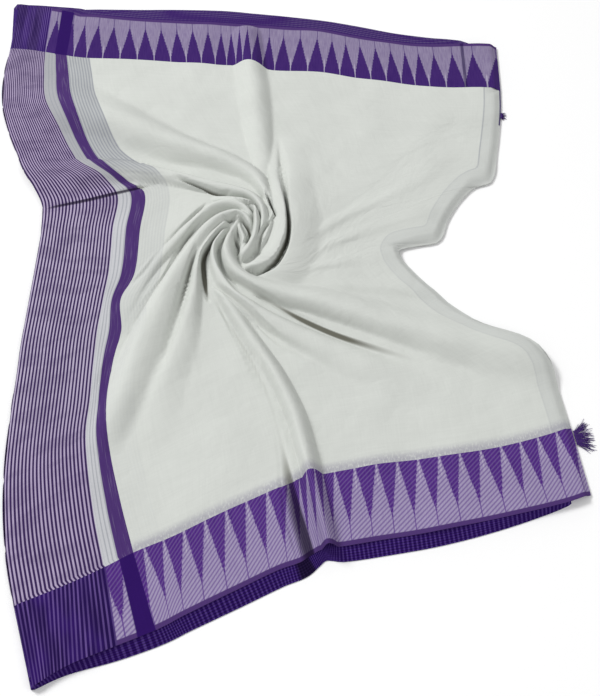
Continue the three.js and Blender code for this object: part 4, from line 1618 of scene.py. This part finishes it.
    def stripes(self) -> bpy.types.Material:
        """The striped end: narrow stripes, a grey gap with thin lines, and the broad band.

        Returns:
            The finished material.
        """
        graph = Graph("striped_end_weave")
        u, v = graph.cloth()
        sharp = 0.0005
        uneven = graph.noise(u, v * 0.02, 190.0) - 0.5
        share = graph.step(graph.wave(u, self.STRIPE_PITCH) + uneven, -0.1, 0.35)
        striped = graph.mix(share, STRIPE_LIGHT, STRIPE_DARK)
        pale = graph.inside(v, 0.30, 0.66, 0.08) * (1.0 - share)
        striped = graph.mix(pale * 0.5, striped, PALE_LILAC)
        blotch = graph.step(graph.noise(u * 0.35, v, 42.0, 3.0), 0.54, 0.1)
        striped = graph.mix(blotch * 0.24, striped, STRIPE_DARK)
        gap = graph.mix(graph.step(v, 0.72, 0.1), PALE_GAP, GREY_GAP)
        colour = graph.mix(graph.step(u, STRIPES_END * MM, sharp), striped, gap)
        thin = graph.step(graph.wave(u, self.THIN_PITCH), 0.5, 0.3) * 0.6
        thin = graph.step(u, (STRIPES_END + 2) * MM, sharp) * thin
        colour = graph.mix(thin, colour, GREY_LINE)
        band = graph.mix(graph.noise(u, v * 0.03, 700.0, 3.0), BAND_DARK, BAND_PURPLE)
        streak = graph.step(graph.noise(u, v * 0.02, 900.0), 0.62, 0.05)
        band = graph.mix(streak * 0.16, band, PALE_LILAC)
        colour = graph.mix(graph.step(u, BAND_START * MM, sharp), colour, band)
        # Deep creases of the striped end get painted purple shade.
        return self.close(graph, u, v, colour, 0.01, PAINTED_SHADE_PURPLE)

    def layers(self) -> bpy.types.Material:
        """The edges of the layers below: purple selvedges ribbed across by their yarns,
        with painted shade in the recess under the hem pleat.

        Returns:
            The finished material.
        """
        graph = Graph("layer_edges")
        u, v = graph.cloth()
        far = graph.step(u, FAR_MARK * MM, 0.01)
        ribs = graph.step(graph.wave(u, self.RIB_PITCH), 0.3, 0.6)
        patchy = graph.noise(u, v * 2.0, 110.0, 3.0)
        near_colour = graph.mix(ribs * (0.25 + patchy), LAYER_DARK, LAYER_RIB)
        # Painted shade: the layers' edge under the hem pleat is darkened as if in its shadow.
        pleat_shadow = graph.inside(u, *self.PLEAT_SHADOW, 0.006)
        near_colour = graph.mix(pleat_shadow * 0.85, near_colour, PAINTED_SHADE_PURPLE)
        thin = graph.step(graph.wave(v, self.FAR_RIB_PITCH), 0.86, 0.1)
        far_colour = graph.mix(thin * 0.2, LAYER_FAR, PALE_LILAC)
        far_colour = graph.mix(ribs * patchy * 0.6, far_colour, LAYER_DARK)
        return self.close(graph, u, v, graph.mix(far, near_colour, far_colour), 0.01)

    def threads(self) -> bpy.types.Material:
        """Loose purple threads."""
        graph = Graph("loose_threads")
        u, v = graph.cloth()
        colour = graph.mix(graph.noise(u, v, 300.0), LAYER_DARK, BAND_PURPLE)
        return self.close(graph, u, v, colour, 0.05)


class Studio:
    """The floor, the lights and the camera, in metres, degrees and watts."""

    CAMERA = (0.05118, -0.76262, 1.132)
    TILT = 30.0
    LENS = 50.74
    SENSOR = 36.0
    LIGHTS = (
        ("key_light", (-3.2, 1.8, 3.9), 1.7, 203.0),
        ("fill_light", (1.3, -1.4, 1.8), 2.2, 12.0),
    )
    SKY_STRENGTH = 0.5
    FLOOR_HALF = 6.0
    FLOOR_COLOUR = (0.95, 0.95, 0.95, 1)
    FLOOR_ROUGHNESS = 0.9

    @classmethod
    def build(cls) -> None:
        """Makes the floor, the lights, the even light of the room and the camera."""
        scene = bpy.context.scene
        cls.floor()
        scene.view_settings.view_transform = "Standard"
        for light in cls.LIGHTS:
            cls.light(*light)
        scene.world = bpy.data.worlds.new("studio")
        scene.world.use_nodes = True
        sky = scene.world.node_tree.nodes["Background"]
        sky.inputs["Color"].default_value = (1, 1, 1, 1)
        sky.inputs["Strength"].default_value = cls.SKY_STRENGTH
        data = bpy.data.cameras.new("camera")
        data.lens = cls.LENS
        data.sensor_width = cls.SENSOR
        camera = bpy.data.objects.new("camera", data)
        camera.location = cls.CAMERA
        camera.rotation_euler = (math.radians(cls.TILT), 0, 0)
        scene.collection.objects.link(camera)
        scene.camera = camera

    @staticmethod
    def light(name: str, place: tuple, size: float, power: float) -> None:
        """Adds a soft square light that faces the middle of the floor.

        Args:
            name: the light's name.
            place: where it stands.
            size: the length of its side.
            power: its power.
        """
        data = bpy.data.lights.new(name, "AREA")
        data.size = size
        data.energy = power
        lamp = bpy.data.objects.new(name, data)
        lamp.location = place
        x, y, z = place
        flat = math.hypot(x, y)
        lamp.rotation_euler = (math.atan2(flat, z), 0, math.atan2(y, x) + math.pi / 2)
        bpy.context.scene.collection.objects.link(lamp)

    @classmethod
    def floor(cls) -> None:
        """Adds the plain pale floor."""
        mesh = bpy.data.meshes.new("floor")
        s = cls.FLOOR_HALF
        mesh.from_pydata([(-s, -s, 0), (s, -s, 0), (s, s, 0), (-s, s, 0)], [], [(0, 1, 2, 3)])
        floor = bpy.data.objects.new("floor", mesh)
        bpy.context.scene.collection.objects.link(floor)
        material = bpy.data.materials.new("floor_paint")
        material.use_nodes = True
        shader = material.node_tree.nodes["Principled BSDF"]
        shader.inputs["Base Color"].default_value = cls.FLOOR_COLOUR
        shader.inputs["Roughness"].default_value = cls.FLOOR_ROUGHNESS
        mesh.materials.append(material)


TUFTS = (
    ThreadTuft("near_threads", 405.5, -244, 7.6, 20, 90, 25, 76, 3),
    ThreadTuft("far_threads", 367.1, 300, -8, 10, 22, 9, 80, 5),
)


@dataclass(frozen=True)
class Placement:
    """What a finished piece stands for, and the cut of its cloth in metres."""

    node: str
    slot: Finish
    material: bpy.types.Material
    flat: tuple[float, float] | None = None

    def apply(self, thing: bpy.types.Object) -> None:
        """Gives a piece its finish, hangs it under the root body and hides the part it stands for.

        Args:
            thing: the piece's object.
        """
        thing.data.materials.append(self.material)
        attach(thing, "root")
        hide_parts(self.node)


def main() -> None:
    """Builds the pieces in order, then the studio."""
    logging.basicConfig(level=logging.INFO, format="%(name)s %(message)s")
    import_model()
    relief, finishes = Relief(), ClothFinishes()
    Placement("folded_layers", Finish.LAYERS, finishes.layers()).apply(LayerStack.build())
    body = Placement("body_field", Finish.BODY, finishes.body(), (0.62, 0.86))
    body.apply(BodyField.build(relief))
    near = Placement("near_border", Finish.NEAR, finishes.border(False), (0.79, 0.092))
    near.apply(Borders.build(relief, False))
    far = Placement("far_border", Finish.FAR, finishes.border(True), (0.80, 0.092))
    far.apply(Borders.build(relief, True))
    end = Placement("striped_end", Finish.STRIPES, finishes.stripes(), (0.145, 0.966))
    end.apply(StripedEnd.build(relief))
    threads = finishes.threads()
    for tuft, node in zip(TUFTS, ("near_end_threads", "far_end_threads")):
        Placement(node, Finish.THREADS, threads).apply(tuft.build())
    Studio.build()


if __name__ == "__main__":
    main()
